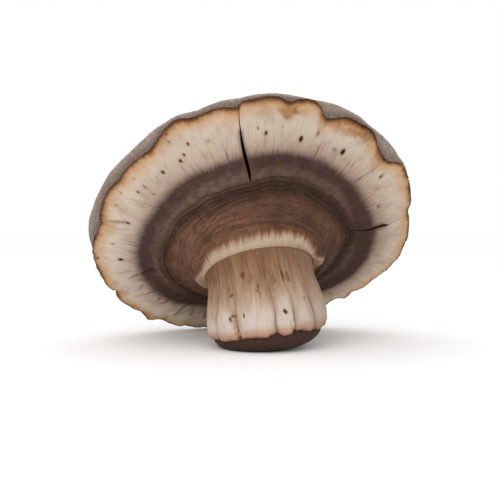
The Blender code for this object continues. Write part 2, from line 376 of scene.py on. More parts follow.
# %% Noises and distances of the flesh
# Stretch round the axis, twice, and along the radius, then changes per mm, and detail. Most are drawn out
# along the radius, but the dashes, arcs and the spread run round the axis.
FLESH_NOISES = {
    "streak": ((1.0, 1.0, 0.045), 1.7, 3.0), "fine": ((1.0, 1.0, 0.15), 3.0, 2.0),
    "fray": ((1.0, 1.0, 0.30), 0.9, 3.0), "ray": ((1.0, 1.0, 0.06), 1.3, 2.0),
    "warm": ((1.0, 1.0, 0.6), 0.24, 4.0), "slow": ((1.0, 1.0, 0.5), 0.06, 0.0),
    "blotch": ((1.0, 1.0, 1.0), 0.10, 3.0), "velvet": ((1.0, 1.0, 1.0), 2.6, 2.0),
    "mottle": ((0.6, 0.6, 1.0), 0.45, 4.0), "dash": ((0.035, 0.035, 1.0), 3.8, 1.0),
    "arc": ((0.02, 0.02, 1.0), 1.9, 3.0), "spread": ((0.03, 0.03, 1.0), 0.8, 1.0)}


def flesh_noises(tree, fan):
    """All noises of the flesh, by name."""
    return SimpleNamespace(**{name: stretched_noise(tree, fan, *kind) for name, kind in FLESH_NOISES.items()})


def flesh_places(tree, fan):
    """What the mesh knows of each point of the flesh: distances in mm, and marks and painted shade, 0 to 1.
    """
    at = SimpleNamespace()
    at.from_collar, at.from_ledge, at.from_taupe = stored_three(tree, "bands")
    at.from_purple, at.from_rim, at.crack = stored_three(tree, "edge")
    at.speck, at.hairline, at.burn = stored_three(tree, "marks")
    # The folds carry painted shade: in the furrows, beside the splits, and on the lower side and the right
    at.furrow, at.beside_split, at.dim_side = stored_three(tree, "folds_and_painted_shade")
    at.across, at.upward, _ = add(tree, THREE, fan).node.outputs
    return at


print("noises of the flesh:", ", ".join(FLESH_NOISES))


# %% [markdown]
# Painted shade darkens the disc towards its edge, where thin lines run along it, fade and come back. A saw
# wave of the distance gives them their even steps. At the left and below, one dark line marks the lip of the
# disc, and below it follows the painted shade of the lower side. The taupe and the purple-brown band follow.

# %% Disc and dark bands
LEDGE_STEP = 1.2             # mm from one dark ledge to the next
LEDGE_DARK = "#21160f"       # nearly black brown of the ledges and of the lip


def disc_tone(tree, noise, at):
    """Brown disc: short dashes and longer arcs round it, blotches and a little of the streaks."""
    tone = add(tree, LAYER, "#745242", add(tree, SOFT, noise.blotch, 0.40, 0.70, 0.8), "#5d4032")
    tone = add(tree, LAYER, tone, add(tree, SOFT, noise.dash, 0.42, 0.64, 0.55), "#3f2a20")
    tone = add(tree, LAYER, tone, add(tree, SOFT, noise.arc, 0.46, 0.62, 0.6), "#442c21")
    tone = add(tree, LAYER, tone, add(tree, SOFT, noise.mottle, 0.60, 0.74, 0.5), "#3a251b")
    tone = add(tree, LAYER, tone, add(tree, SOFT, noise.fine, 0.50, 0.72, 0.45), "#835f4b")
    # painted shade on the lower side and at the right
    return add(tree, LAYER, tone, add(tree, TIMES, at.dim_side, 0.55), "#33231c")


def ledge_lines(tree, noise, at):
    """Uneven distance from the disc's edge, how strong its dark lines are, and how strong its lip is."""
    near = shifted(tree, at.from_ledge, (noise.slow, 1.6))
    wander = shifted(tree, near, (noise.spread, 1.5), (noise.blotch, 1.2))
    saw = add(tree, PAST_WHOLE, add(tree, OVER, wander, LEDGE_STEP))
    broken = add(tree, SOFT, shifted(tree, noise.blotch, (noise.mottle, 0.9)), 0.30, 0.52)
    lines = add(tree, TIMES, add(tree, SOFT, saw, 0.52, 0.92), broken)
    threads = add(tree, TIMES, add(tree, SOFT, noise.arc, 0.50, 0.60),
                  add(tree, SOFT, noise.warm, 0.36, 0.56, 0.6))
    ledge = product(tree, add(tree, LARGER, lines, threads), add(tree, SOFT, near, -3.6, -1.0),
                    add(tree, SOFT, near, 3.6, 2.4))

    lip_at = shifted(tree, wander, (noise.mottle, 1.8), (noise.velvet, 1.2))
    # on the lower side and at the right, the lip's line follows the painted shade there
    lip_side = add(tree, LARGER, add(tree, SOFT, at.across, -16.0, -38.0, 0.6), at.dim_side)
    lip = product(tree, add(tree, SOFT, lip_at, -0.4, 0.3), add(tree, SOFT, lip_at, 0.9, 0.4),
                add(tree, SOFT, noise.warm, 0.34, 0.54), lip_side)
    return near, ledge, lip


def dark_bands(tree, noise, at, near, ledge, lip):
    """The disc with painted shade at its edge, and its ledges, then the taupe band and the purple-brown one.
    """
    # painted shade on the disc towards its edge, more at the middle and the right than at the left
    disc_edge_painted_shade = add(tree, TIMES, add(tree, SOFT, near, -4.4, -0.6), add(tree, SOFT, at.across, -44.0, -8.0))
    disc_edge_painted_shade = add(tree, LARGER, disc_edge_painted_shade, add(tree, TIMES, add(tree, SOFT, near, -2.6, 0.4), 0.68))
    tone = add(tree, LAYER, disc_tone(tree, noise, at), disc_edge_painted_shade, "#3f2c24")

    taupe = add(tree, LAYER, "#57443a", add(tree, SOFT, noise.mottle, 0.32, 0.72), "#705a4d")
    taupe = add(tree, LAYER, taupe, add(tree, SOFT, noise.streak, 0.5, 0.75, 0.35), "#47362f")
    # painted shade on the lower side and at the right
    taupe = add(tree, LAYER, taupe, add(tree, TIMES, at.dim_side, 0.6), "#3a2a24")
    tone = add(tree, LAYER, tone, add(tree, SOFT, near, 0.7, 3.8), taupe)
    tone = add(tree, LAYER, tone, add(tree, TIMES, ledge, add(tree, SOFT, at.across, -46.0, -18.0, 0.5)),
               LEDGE_DARK)
    tone = add(tree, LAYER, tone, add(tree, TIMES, ledge, 0.44), LEDGE_DARK)
    tone = add(tree, LAYER, tone, lip, LEDGE_DARK)

    purple = add(tree, LAYER, "#44302a", add(tree, SOFT, noise.streak, 0.35, 0.75, 0.7), "#5a4034")
    purple = add(tree, LAYER, purple, add(tree, SOFT, noise.mottle, 0.42, 0.75, 0.5), "#634c43")
    purple = add(tree, LAYER, purple, add(tree, SOFT, noise.warm, 0.46, 0.66, 0.7), "#42333b")
    # painted shade on the lower side and at the right
    purple = add(tree, LAYER, purple, add(tree, TIMES, at.dim_side, 0.75), "#3b2821")
    taupe_edge = shifted(tree, at.from_taupe, (noise.blotch, 3.0), (noise.streak, 1.2))
    return add(tree, LAYER, tone, add(tree, SOFT, taupe_edge, -1.5, 1.5), purple)


print("dark ledges lie about", LEDGE_STEP, "mm apart")


# %% [markdown]
# The cream band, the rim, the collar and the damage are laid on one after another. Where the rim is burnt,
# its dark line and its strokes reach further in.

# %% Cream band, rim, collar and damage
def cream_tone(tree, noise, at):
    """Cream band: faint long streaks, warm blotches, and thin brown rays that start at the purple edge."""
    # painted light: the cream is lighter at the far left, where the light falls
    tone = add(tree, LAYER, CREAM, add(tree, SOFT, at.across, -33.0, -47.0), "#cebeae")
    tone = add(tree, LAYER, tone, add(tree, SOFT, noise.streak, 0.50, 0.80, 0.6), "#a79282")
    tone = add(tree, LAYER, tone, add(tree, SOFT, noise.blotch, 0.50, 0.80), "#b8a28c")
    tone = add(tree, LAYER, tone, add(tree, SOFT, noise.warm, 0.48, 0.70, 0.6), "#a98e76")
    tone = add(tree, LAYER, tone, add(tree, SOFT, noise.fine, 0.56, 0.78, 0.4), "#8f7465")
    tone = add(tree, LAYER, tone, add(tree, SOFT, noise.velvet, 0.60, 0.78, 0.3), "#8f7868")
    near_purple = shifted(tree, at.from_purple, (noise.blotch, 8.0), (noise.streak, 4.0))
    tone = add(tree, LAYER, tone, add(tree, SOFT, near_purple, 10.5, 0.0, 0.42), "#8a6e63")
    tone = add(tree, LAYER, tone, add(tree, SOFT, at.from_purple, 3.6, 0.4, 0.4), "#7f6458")
    rays = product(tree, add(tree, SOFT, noise.ray, 0.56, 0.68), add(tree, SOFT, near_purple, 9.5, 1.0, 0.75),
                 add(tree, SOFT, noise.warm, 0.38, 0.56))
    tone = add(tree, LAYER, tone, rays, "#5f463b")
    # painted shade on the lower side and at the right, fading out 10 mm past the purple edge
    cream_painted_shade = add(tree, TIMES, at.dim_side, add(tree, SOFT, at.from_purple, 10.0, 2.0, 0.36))
    return add(tree, LAYER, tone, cream_painted_shade, "#775c49")


def with_rim(tree, noise, at, tone):
    """Dried rim: a golden glow, reddish brown at the edge, scorched strokes and a thin ragged dark line."""
    dried = add(tree, PLUS, shifted(tree, at.from_rim, (noise.fray, 2.6), (noise.blotch, 6.0)), at.burn, -1.7)
    tone = add(tree, LAYER, tone, add(tree, SOFT, dried, 6.2, 0.6, 0.74), "#bb9060")
    scorch = shifted(tree, add(tree, PLUS, at.from_rim, at.burn, -0.8), (noise.fray, 1.6), (noise.warm, 4.2))
    tone = add(tree, LAYER, tone, add(tree, SOFT, scorch, 2.6, 0.0, 0.85), "#8d5c36")
    strokes = product(tree, add(tree, SOFT, noise.streak, 0.50, 0.72), at.burn,
                    add(tree, SOFT, at.from_rim, 5.5, 1.0, 0.6), add(tree, SOFT, noise.mottle, 0.38, 0.60))
    tone = add(tree, LAYER, tone, strokes, "#5f3f27")
    tone = add(tree, LAYER, tone, product(tree, add(tree, SOFT, noise.mottle, 0.34, 0.62), at.burn, 0.6),
               "#7d5733")
    tone = add(tree, LAYER, tone, add(tree, SOFT, at.burn, 1.0, 1.8, 0.55), "#9c7450")
    charred = shifted(tree, at.from_rim, (noise.warm, 1.6), (noise.streak, 0.8), (noise.fray, 0.5))
    charred = add(tree, PLUS, charred, add(tree, TIMES, at.burn, add(tree, SOFT, noise.warm, 0.42, 0.62)),
                  -0.7)
    tone = add(tree, LAYER, tone, add(tree, SOFT, charred, 1.3, -0.1), "#4c2f1e")
    tone = add(tree, LAYER, tone, add(tree, TIMES, add(tree, SOFT, charred, 0.2, -0.5), at.burn), "#2f1d14")
    return add(tree, LAYER, tone, add(tree, SOFT, at.from_rim, -0.15, -0.7), "#8a786e")


def with_collar(tree, noise, at, tone):
    """Collar: pale, with fine lines out along the radius and a rust-brown, ragged border."""
    # painted shade of the stem on the disc near it, on the lower side and at the right
    shade = add(tree, TIMES, at.dim_side, add(tree, SOFT, at.from_collar, 8.5, 3.0, 0.95))
    tone = add(tree, LAYER, tone, shade, "#291b15")
    edge = shifted(tree, at.from_collar, (noise.warm, 2.6), (noise.fray, 1.6), (noise.streak, 0.6))
    tone = add(tree, LAYER, tone, add(tree, SOFT, edge, 1.8, 0.2, 0.7), "#72482f")
    fibres = add(tree, LAYER, "#b8a692", add(tree, SOFT, noise.streak, 0.42, 0.75, 0.7), "#9a836d")
    fibres = add(tree, LAYER, fibres, add(tree, SOFT, noise.fine, 0.50, 0.75, 0.25), "#8a6f58")
    fibres = add(tree, LAYER, fibres, add(tree, SOFT, edge, -1.2, 0.2, 0.6), "#966f54")
    fibres = add(tree, LAYER, fibres, add(tree, SOFT, at.upward, 14.0, -6.0, 0.55), "#8a664d")
    tone = add(tree, LAYER, tone, add(tree, SOFT, edge, 0.8, -0.5), fibres)
    # tan inner edge, with painted shade where the collar meets the stem
    return add(tree, LAYER, tone, add(tree, SOFT, at.from_collar, -0.6, -2.0, 0.55), "#93745a")


def with_damage_and_split_shade(tree, noise, at, tone):
    """Pits, hairlines, and painted shade beside and inside the splits."""
    tone = add(tree, LAYER, tone, add(tree, SOFT, at.speck, 0.7, 0.0, 0.4), "#8a6a52")
    ragged = shifted(tree, at.speck, (noise.velvet, 0.9))
    tone = add(tree, LAYER, tone, add(tree, SOFT, ragged, 0.14, -0.10), "#5a3c28")
    tone = add(tree, LAYER, tone, add(tree, SOFT, ragged, -0.08, -0.35), "#2a1d17")
    tone = add(tree, LAYER, tone, add(tree, SOFT, at.hairline, 0.2, 0.9, 0.7), "#4b3226")
    # painted shade beside the two deep splits
    tone = add(tree, LAYER, tone, add(tree, TIMES, at.beside_split, 0.6), "#5d4336")
    # near-black painted shade inside the splits
    return add(tree, LAYER, tone, add(tree, SOFT, at.crack, 0.1, 0.8), "#170b09")


LAID_ON = (with_rim, with_collar, with_damage_and_split_shade)
print("laid over the bands in turn:", [step.__name__ for step in LAID_ON])


# %% [markdown]
# Now the flesh can be put together: the dark bands first, the cream band over their frayed edge, the
# furrows with their painted shade and the bruises, and then the rest in turn. Its bump is low, because flesh
# that dries shrinks into fine grooves and no deep ones, and nothing on it shines.

# %% Flesh material
def flesh_material():
    """Cream mushroom flesh that dried at its edge: matte, streaked along the radius, with brown rings."""
    material, tree, shader = new_material("mushroom flesh, grown and dried at the rim", 0.78, 0.08)
    fan = add(tree, ATTRIBUTE, out="Vector", attribute_name="fan")
    noise = flesh_noises(tree, fan)
    at = flesh_places(tree, fan)
    near, ledge, lip = ledge_lines(tree, noise, at)
    tone = dark_bands(tree, noise, at, near, ledge, lip)

    cream_edge = shifted(tree, at.from_purple, (noise.streak, 1.8), (noise.fray, 2.0), (noise.blotch, 2.0))
    cream_edge = add(tree, PLUS, cream_edge, at.furrow, -0.8)
    tone = add(tree, LAYER, tone, add(tree, SOFT, cream_edge, -1.8, 1.9), cream_tone(tree, noise, at))
    # painted shade in the furrows and along the fold, and the bruises' own brown
    tone = add(tree, LAYER, tone, add(tree, TIMES, at.furrow, 0.55), "#4d382f")
    in_purple = add(tree, SOFT, at.from_purple, 1.0, -1.5, 0.65)
    # darker painted shade where the furrows reach into the purple band
    tone = add(tree, LAYER, tone, add(tree, TIMES, at.furrow, in_purple), "#231712")
    for lay_on in LAID_ON:
        tone = lay_on(tree, noise, at, tone)

    height = add(tree, TIMES, noise.streak,
                 add(tree, PLUS, 0.05, add(tree, SOFT, cream_edge, -1.0, 2.0), 0.18))
    height = add(tree, PLUS, height, noise.dash, add(tree, SOFT, at.from_ledge, 2.5, -0.5, 0.22))
    height = add(tree, PLUS, height, ledge, -0.22)
    height = add(tree, PLUS, height, noise.velvet, 0.06)
    coat(tree, shader, tone, height, 0.8)
    return material


flesh = flesh_material()
print(flesh.name, "has", len(flesh.node_tree.nodes), "nodes")


# %% [markdown]
# ## Skin of the dome
#
# The top of the cap is a thin grey-brown skin, dry and fibrous. Where the photograph shows it, beside the
# rim, it has shallow wrinkles that run along the rim. They come from a noise squeezed across the rim and
# drawn out along it, and it fades over the crown, where fine fibres run down towards the rim instead.

# %% Skin material
def skin_material():
    """Dry fibrous mushroom skin: grey-brown, wrinkled along the rim, a little darker on the crown."""
    material, tree, shader = new_material("mushroom skin, grown and dry", 0.7, 0.3)
    fan = add(tree, ATTRIBUTE, out="Vector", attribute_name="fan")
    past_rim = add(tree, TIMES, stored_three(tree, "edge")[1], -1.0)
    wrinkle = stretched_noise(tree, fan, (0.10, 0.10, 1.0), 1.2, 3.0)
    grain = stretched_noise(tree, fan, (0.6, 0.6, 1.0), 2.0, 3.0)
    fibre = stretched_noise(tree, fan, (1.0, 1.0, 0.08), 1.3, 4.0)
    blotch = stretched_noise(tree, fan, (1.0, 1.0, 1.0), 0.07, 4.0)
    near_rim = add(tree, SOFT, past_rim, 22.0, 4.0)

    mottled = add(tree, LAYER, "#7e6e65", add(tree, SOFT, grain, 0.34, 0.66), "#a09086")
    mottled = add(tree, LAYER, mottled, add(tree, SOFT, wrinkle, 0.48, 0.70, 0.30), "#6f5f57")
    hairs = add(tree, LAYER, "#6b594e", add(tree, SOFT, fibre, 0.35, 0.70), "#8f7d71")
    tone = add(tree, LAYER, hairs, near_rim, mottled)
    tone = add(tree, LAYER, tone, add(tree, SOFT, blotch, 0.45, 0.7, 0.35), "#85705f")
    # darker just past the rim: the skin's own dark edge, and painted shadow of the lip
    tone = add(tree, LAYER, tone, add(tree, SOFT, past_rim, 2.3, 1.3, 0.45), "#6c5a50")
    place = add(tree, "ShaderNodeTexCoord", out="Object")
    patch = stretched_noise(tree, place, (1.0 / MM, 1.0 / MM, 1.0 / MM), 0.22, 4.0)
    crown_tone = add(tree, LAYER, "#5c4b41", add(tree, SOFT, patch, 0.35, 0.65), "#7a695d")
    tone = add(tree, LAYER, tone, add(tree, SOFT, past_rim, 30.0, 58.0, 0.8), crown_tone)

    height = product(tree, wrinkle, near_rim, 0.3)
    height = add(tree, PLUS, height, grain, 0.12)
    height = add(tree, PLUS, height, fibre, 0.12)
    coat(tree, shader, tone, height, 0.7)
    return material


skin = skin_material()
print(skin.name, "has", len(skin.node_tree.nodes), "nodes")


# %% [markdown]
# ## Splits, hairlines and specks of the cap
#
# Drying has torn the underside: one deep split at the top, a shorter one at the right, and hairlines that
# follow the radius. Each is a path of (radius, angle) with a width and a depth along it. The specks are small
# dark pits, each a place, (angle, radius), and a size in mm. They could be cut as holes, but they are only a
# fifth of a mm deep, so a distance field on the mesh colours and dents them.

# %% Splits, hairlines and specks
CAP_LINE_STEP = 0.485        # degrees between the plain lines of the cap
SPLIT_SHARES = (-1.0, -0.9, -0.5, 0.0, 0.5, 0.9, 1.0)
MAIN_SPLIT = {
    "angle": 87.3, "spread": 18.0, "guard": 2.8, "shares": SPLIT_SHARES, "beside": (0.25, 0.6, 1.1),
    "path": [(32.0, 86.5), (35.1, 86.5), (37.9, 86.9), (41.6, 87.5), (44.7, 87.8), (48.3, 88.0), (55.2, 87.7),
             (58.5, 87.1)],
    "width": [(31.8, 0.04), (32.8, 0.3), (34.6, 0.55), (38.0, 0.62), (42.0, 0.6), (46.0, 0.5), (50.0, 0.33),
              (53.0, 0.15), (58.0, 0.11), (60.0, 0.2), (62.0, 0.05)],
    "depth": [(31.8, 0.0), (33.8, 3.0), (38.0, 5.0), (43.0, 6.0), (48.0, 4.5), (51.0, 2.5), (54.0, 0.7),
              (60.0, 0.4), (62.0, 0.0)]}
SIDE_SPLIT = {
    "angle": 352.0, "spread": 16.0, "guard": 2.3, "shares": SPLIT_SHARES, "beside": (0.25, 0.6, 1.1),
    "path": [(33.5, 355.5), (35.7, 353.8), (38.9, 352.5), (42.8, 352.0), (47.7, 352.2), (49.9, 351.4),
             (51.9, 351.7), (55.2, 352.2), (57.7, 352.1)],
    "width": [(33.5, 0.1), (35.7, 0.2), (38.0, 0.3), (42.0, 0.55), (45.0, 0.92), (48.5, 0.85), (50.4, 0.24),
              (52.0, 0.11), (62.0, 0.09)],
    "depth": [(33.5, 0.0), (35.7, 0.4), (40.0, 0.7), (43.0, 1.6), (45.0, 2.0), (48.0, 1.8), (50.5, 0.65),
              (53.0, 0.5), (60.0, 0.45), (62.0, 0.0)]}
# Hairlines: half width in mm, and the path of (radius, angle)
HAIRLINES = [
    (0.24, [(37.3, 29.8), (42.4, 28.7), (46.0, 27.4), (50.0, 26.0), (54.9, 24.6), (58.0, 24.2)]),
    (0.10, [(42.7, 45.6), (48.8, 45.8)]),
    (0.12, [(37.9, 75.5), (43.8, 74.9), (49.8, 74.4)]),
    (0.10, [(39.0, 82.2), (44.0, 81.6)]),
    (0.10, [(45.1, 94.0), (50.0, 92.9)]),
    (0.12, [(49.5, 101.6), (52.4, 101.3)]),
    (0.12, [(41.4, 111.8), (46.6, 111.4)]),
    (0.10, [(42.9, 125.0), (46.4, 124.7)]),
    (0.14, [(41.6, 139.5), (47.6, 140.7), (53.1, 142.7)]),
    (0.14, [(48.3, 153.3), (57.5, 156.9)]),
    (0.12, [(38.0, 184.9), (43.4, 186.4), (51.6, 191.0)])]
HAIRLINE_DEPTH = 0.12        # mm
FOLD_ANGLE, FOLD_DEPTH = 25.2, 0.45      # shallow fold along the longest hairline, out to a notch in the rim
# Specks: angle, radius and size in mm
SPECKS = [
    (81.4, 51.7, 0.40), (78.3, 49.8, 0.70), (63.9, 48.4, 1.00), (57.9, 51.6, 0.35), (44.0, 48.7, 1.10),
    (135.2, 56.4, 0.35), (107.6, 52.7, 0.60), (111.2, 49.9, 0.55), (113.8, 48.7, 0.70), (112.9, 56.2, 0.35),
    (122.6, 48.9, 0.70), (136.8, 50.1, 0.55), (133.0, 49.4, 0.25), (147.6, 53.9, 0.35), (153.8, 48.2, 0.70),
    (158.4, 56.6, 0.50), (167.7, 52.4, 0.40), (176.9, 50.5, 0.90), (176.5, 59.0, 0.60), (36.1, 46.7, 0.25),
    (20.3, 51.1, 0.60), (15.5, 48.2, 0.30), (5.9, 46.3, 0.45), (4.8, 46.5, 0.35), (72.1, 51.9, 0.25),
    (100.4, 51.0, 0.30), (133.5, 45.5, 0.25), (141.5, 54.4, 0.25), (112.2, 59.0, 0.40), (133.2, 53.7, 0.25)]
# Furrows, most at the lower left: angles at the inner and the outer end, and the radii of the two ends
FURROWS = [(184.7, 187.2, 39.8, 46.4), (187.0, 190.5, 46.1, 51.8), (195.6, 198.8, 47.4, 51.4),
           (207.7, 210.5, 45.8, 50.0), (212.0, 213.6, 44.9, 51.0), (221.2, 224.2, 42.4, 54.0),
           (226.9, 230.0, 43.0, 50.5), (234.0, 237.0, 42.0, 50.0), (154.0, 158.3, 48.8, 57.0)]
FURROW_WIDTH, FURROW_DEPTH = 1.35, 0.35  # mm
# Soft brown bruises: angle, radius, half width across, half length along the radius, strength. The long one
# at 25.4 degrees is painted shade along the fold.
BRUISES = [(58.0, 51.4, 0.8, 1.7, 1.0), (48.2, 48.3, 1.2, 0.8, 1.0), (132.9, 49.7, 0.6, 1.4, 0.7),
           (20.6, 52.0, 1.2, 1.8, 0.5), (6.5, 46.6, 0.7, 1.2, 0.6),
           (25.4, 52.0, 0.9, 5.0, 0.35), (21.8, 54.6, 2.0, 2.0, 0.3)]
# Burnt stretches of the rim: middle angle, half width in degrees and strength
BURNT = [(44, 9, 1.0), (58, 2.5, 0.4), (198.7, 1.8, 0.7), (216.5, 3.0, 0.7), (208, 2, 0.5), (221.5, 1.5, 0.6),
         (113, 5, 0.3), (27, 4, 0.5), (73, 10, 0.5), (157, 3, 0.45)]
TAN_PATCH = (70.8, 3.6, 4.6, 2.2)        # angle, mm inside the rim, half width and half height


def hairline_split(half_width, path):
    """A hairline as a split: thin, shallow, fading out at both ends."""
    (inner, first), (outer, last) = path[0], path[-1]
    middle = (first + last) / 2.0
    width = [(inner, 0.05), (inner + 1.0, half_width), (outer - 1.0, half_width), (outer, 0.05)]
    depth = [(inner - 0.5, 0.0), (inner + 1.0, HAIRLINE_DEPTH),
             (outer - 1.0, HAIRLINE_DEPTH), (outer + 0.5, 0.0)]
    return {"angle": middle, "spread": 6.0 + 1.2 * abs(last - first), "guard": 0.8, "path": path,
            "shares": (-1.0, 0.0, 1.0), "beside": (0.25,), "width": width, "depth": depth}


CAP_SPLITS = [MAIN_SPLIT, SIDE_SPLIT] + [hairline_split(*given) for given in HAIRLINES]
cap_lines = spread_lines(CAP_SPLITS, CAP_LINE_STEP)
print("lines over the cap:", len(cap_lines["angle"]))


# %% [markdown]
# ## The cap
#
# The cap is one body: a shallow seat for the stem, the concave underside, a thin lip that curls at the wavy
# rim, and the low dome behind it. It is a smooth curve through rings, row by row. The rim's distance from the
# axis and the widest line of the dome are outlines read off the photograph, in mm.

# %% Cap rings and rows
RIM_OUTLINE = [
    (87.3, 58.4), (91, 59.6), (95, 60.3), (99, 59.8), (103, 60.0), (107, 61.5), (111, 60.7), (115, 59.0),
    (120, 56.8), (127, 57.1), (134, 57.4), (137, 57.1), (141, 58.1), (147, 58.3), (153, 57.9), (159, 57.2),
    (163, 57.8), (168, 59.3), (172, 60.1), (180, 60.6), (188, 60.9), (193, 60.6), (195.5, 59.8), (199, 61.0),
    (203, 61.6), (208, 61.0), (211.5, 60.1), (215, 61.2), (218, 62.0), (222, 59.2), (226, 60.1), (230, 59.7),
    (234, 58.5), (239, 57.9), (245, 57.8), (254, 56.4), (262, 57.4), (268, 58.9), (275, 58.0), (285, 57.4),
    (294, 56.6), (299, 56.6), (302.5, 58.6), (306, 58.2), (310, 59.9), (316, 60.3), (320, 61.4), (325, 62.0),
    (331, 62.3), (337, 61.8), (343, 61.0), (350, 59.6), (355, 58.6), (360, 59.4), (369, 59.7), (377, 59.5),
    (381, 58.8), (385, 55.9), (388, 55.4), (392, 56.1), (395, 57.6), (398, 59.4), (404, 59.4), (409, 59.4),
    (412, 58.3), (415, 56.4), (417.5, 56.8), (421, 60.5), (424, 61.8), (428, 61.4), (431.5, 60.1),
    (435, 61.8), (439, 62.0), (443, 61.3), (446, 61.0), (447.3, 59.8)]
DOME_OUTLINE = [
    (87.3, 60.2), (92, 60.4), (97, 60.0), (102, 59.8), (108, 60.8), (114, 60.3), (120, 59.5), (127, 59.1),
    (138, 59.7), (150, 60.0), (160, 60.6), (168, 60.8), (178, 60.1), (188, 59.9), (196, 59.2), (210, 59.3),
    (240, 59.3), (270, 59.3), (300, 59.3), (325, 59.6), (345, 59.1), (355, 58.7), (360, 59.2), (368, 59.8),
    (376, 60.0), (383, 59.4), (392, 59.2), (399, 59.4), (405, 60.1), (409, 60.3), (414, 60.2), (421, 60.2),
    (430, 60.6), (437, 61.2), (447.3, 60.2)]

# From the seat out to the rim and over the dome: ring, what the radius is measured from, radius in mm
# (negative where it is inside the rim or the widest line), mm below the ring, and rows up to the next
AXIS, RIM, LIP, DOME = range(4)
SEAT_DEPTH = 4.0             # mm of the stem in its seat
CEILING = -4.3               # so 4.3 mm above the seat's ring, and the stem's top keeps 0.3 mm of air
CAP_PROFILE = [
    (SEAT_RING, AXIS, 19.4, CEILING, 2), (SEAT_RING, AXIS, 19.4, 0.0, 8), (DISC_RING, AXIS, 21.7, 0.0, 9),
    (RIM_RING, AXIS, 27.5, 11.0, 12), (RIM_RING, AXIS, 33.3, 6.6, 9), (RIM_RING, AXIS, 38.2, 5.7, 10),
    (RIM_RING, AXIS, 43.3, 5.0, 16), (RIM_RING, AXIS, 51.0, 2.9, 13),
    (RIM_RING, RIM, -2.2, 0.9, 4), (RIM_RING, RIM, -0.9, 0.42, 3), (RIM_RING, RIM, -0.2, 0.08, 2),
    (RIM_RING, RIM, 0.0, -0.35, 2), (RIM_RING, RIM, -0.25, -0.9, 2), (RIM_RING, RIM, -0.8, -1.3, 2),
    (RIM_RING, LIP, -1.4, -2.0, 4), (RIM_RING, DOME, 0.0, -2.8, 4), (RIM_RING, DOME, -1.6, -5.3, 3),
    (RIM_RING, DOME, -4.6, -8.3, 4), (RIM_RING, AXIS, 50.0, -11.7, 4), (RIM_RING, AXIS, 40.0, -15.0, 4),
    (RIM_RING, AXIS, 28.0, -17.5, 4), (RIM_RING, AXIS, 14.0, -18.8, 3), (RIM_RING, AXIS, 5.0, -19.14, 0)]
RIM_AT = 11                  # where the rim's edge is in the profile
SKIN_AT = 14                 # where the skin starts under the lip
DOME_RISE = 19.2             # mm from the plane of the rim to the crown
PAST_RIM = 62.0              # radius that stands for every row past the rim, where the splits have closed
LONG_TATTER, SHORT_TATTER = 0.11, 0.05   # mm by which the rim is tattered
EVERYWHERE = np.arange(0.0, 360.0, 5.0)  # angles at which the mean length of a stretch is taken


def cap_radius(j, plain):
    """Distance from the cap's axis, in mm, at one ring of the profile, for each plain angle."""
    _, measured_from, radius, _, _ = CAP_PROFILE[j]
    if measured_from == AXIS:
        return np.full(len(plain), radius)
    tatter = LONG_TATTER * waves(plain, 90, 200, 3) + SHORT_TATTER * waves(plain, 200, 380, 4)
    rim = outline_at(RIM_OUTLINE, plain) + tatter
    widest = outline_at(DOME_OUTLINE, plain)
    if measured_from == LIP:
        return np.minimum(rim + radius, widest - 1.0)
    return (rim if measured_from == RIM else widest) + radius


def cap_control(j, angle, plain):
    """x, y, z and radius of every line where it passes one ring of the profile."""
    ring, _, _, below, _ = CAP_PROFILE[j]
    radius = cap_radius(j, plain)
    return np.column_stack([on_ring(ring, angle, radius, below), radius])


def cap_grid():
    """Points of the cap, lines by rows, their angles and radii, the lines' plain angles, and each row's split
    depths and way past the rim in mm."""
    steps = [entry[4] for entry in CAP_PROFILE[:-1]]
    rings = [cap_control(j, EVERYWHERE, EVERYWHERE)[:, :3] for j in range(len(CAP_PROFILE))]
    lengths = [float(np.linalg.norm(b - a, axis=1).mean()) for a, b in zip(rings, rings[1:])]
    middle_radius = [cap_radius(j, EVERYWHERE).mean() for j in range(len(CAP_PROFILE))]
    plain = cap_lines["angle"] + np.degrees(cap_lines["beside"] / SIDE_RADIUS) + 0.1 * cap_lines["share"]
    columns, angles, depths, paths = [], [], [], []
    for k, t in row_places(steps):
        radius = float(smooth_row(lambda j: middle_radius[j], lengths, k, t))
        if k >= RIM_AT:
            radius = PAST_RIM
        angle = bent_angles(cap_lines, CAP_SPLITS, [radius] * len(CAP_SPLITS), radius)
        columns.append(smooth_row(lambda j: cap_control(j, angle, plain), lengths, k, t))
        angles.append(angle)
        depths.append([np.interp(radius, *np.array(split["depth"]).T) for split in CAP_SPLITS])
        paths.append(sum(lengths[:k]) + t * lengths[k] - sum(lengths[:RIM_AT]))
    grid = np.stack(columns, axis=1)
    return grid[..., :3], np.stack(angles, axis=1), grid[..., 3], plain, np.array(depths), np.array(paths)


points, angles, radii, plain_angles, split_depths, past_rim = cap_grid()
print("grid of the cap:", points.shape[:2], "and the rim lies", round(float(radii.max()), 1),
      "mm from its axis")


# %% [markdown]
# The coloured rings are not quite round either. Each is a short list of (angle, radius) read off the
# photograph, and every point of the mesh gets its distance from each of them, in mm, as an attribute for the
# flesh material.

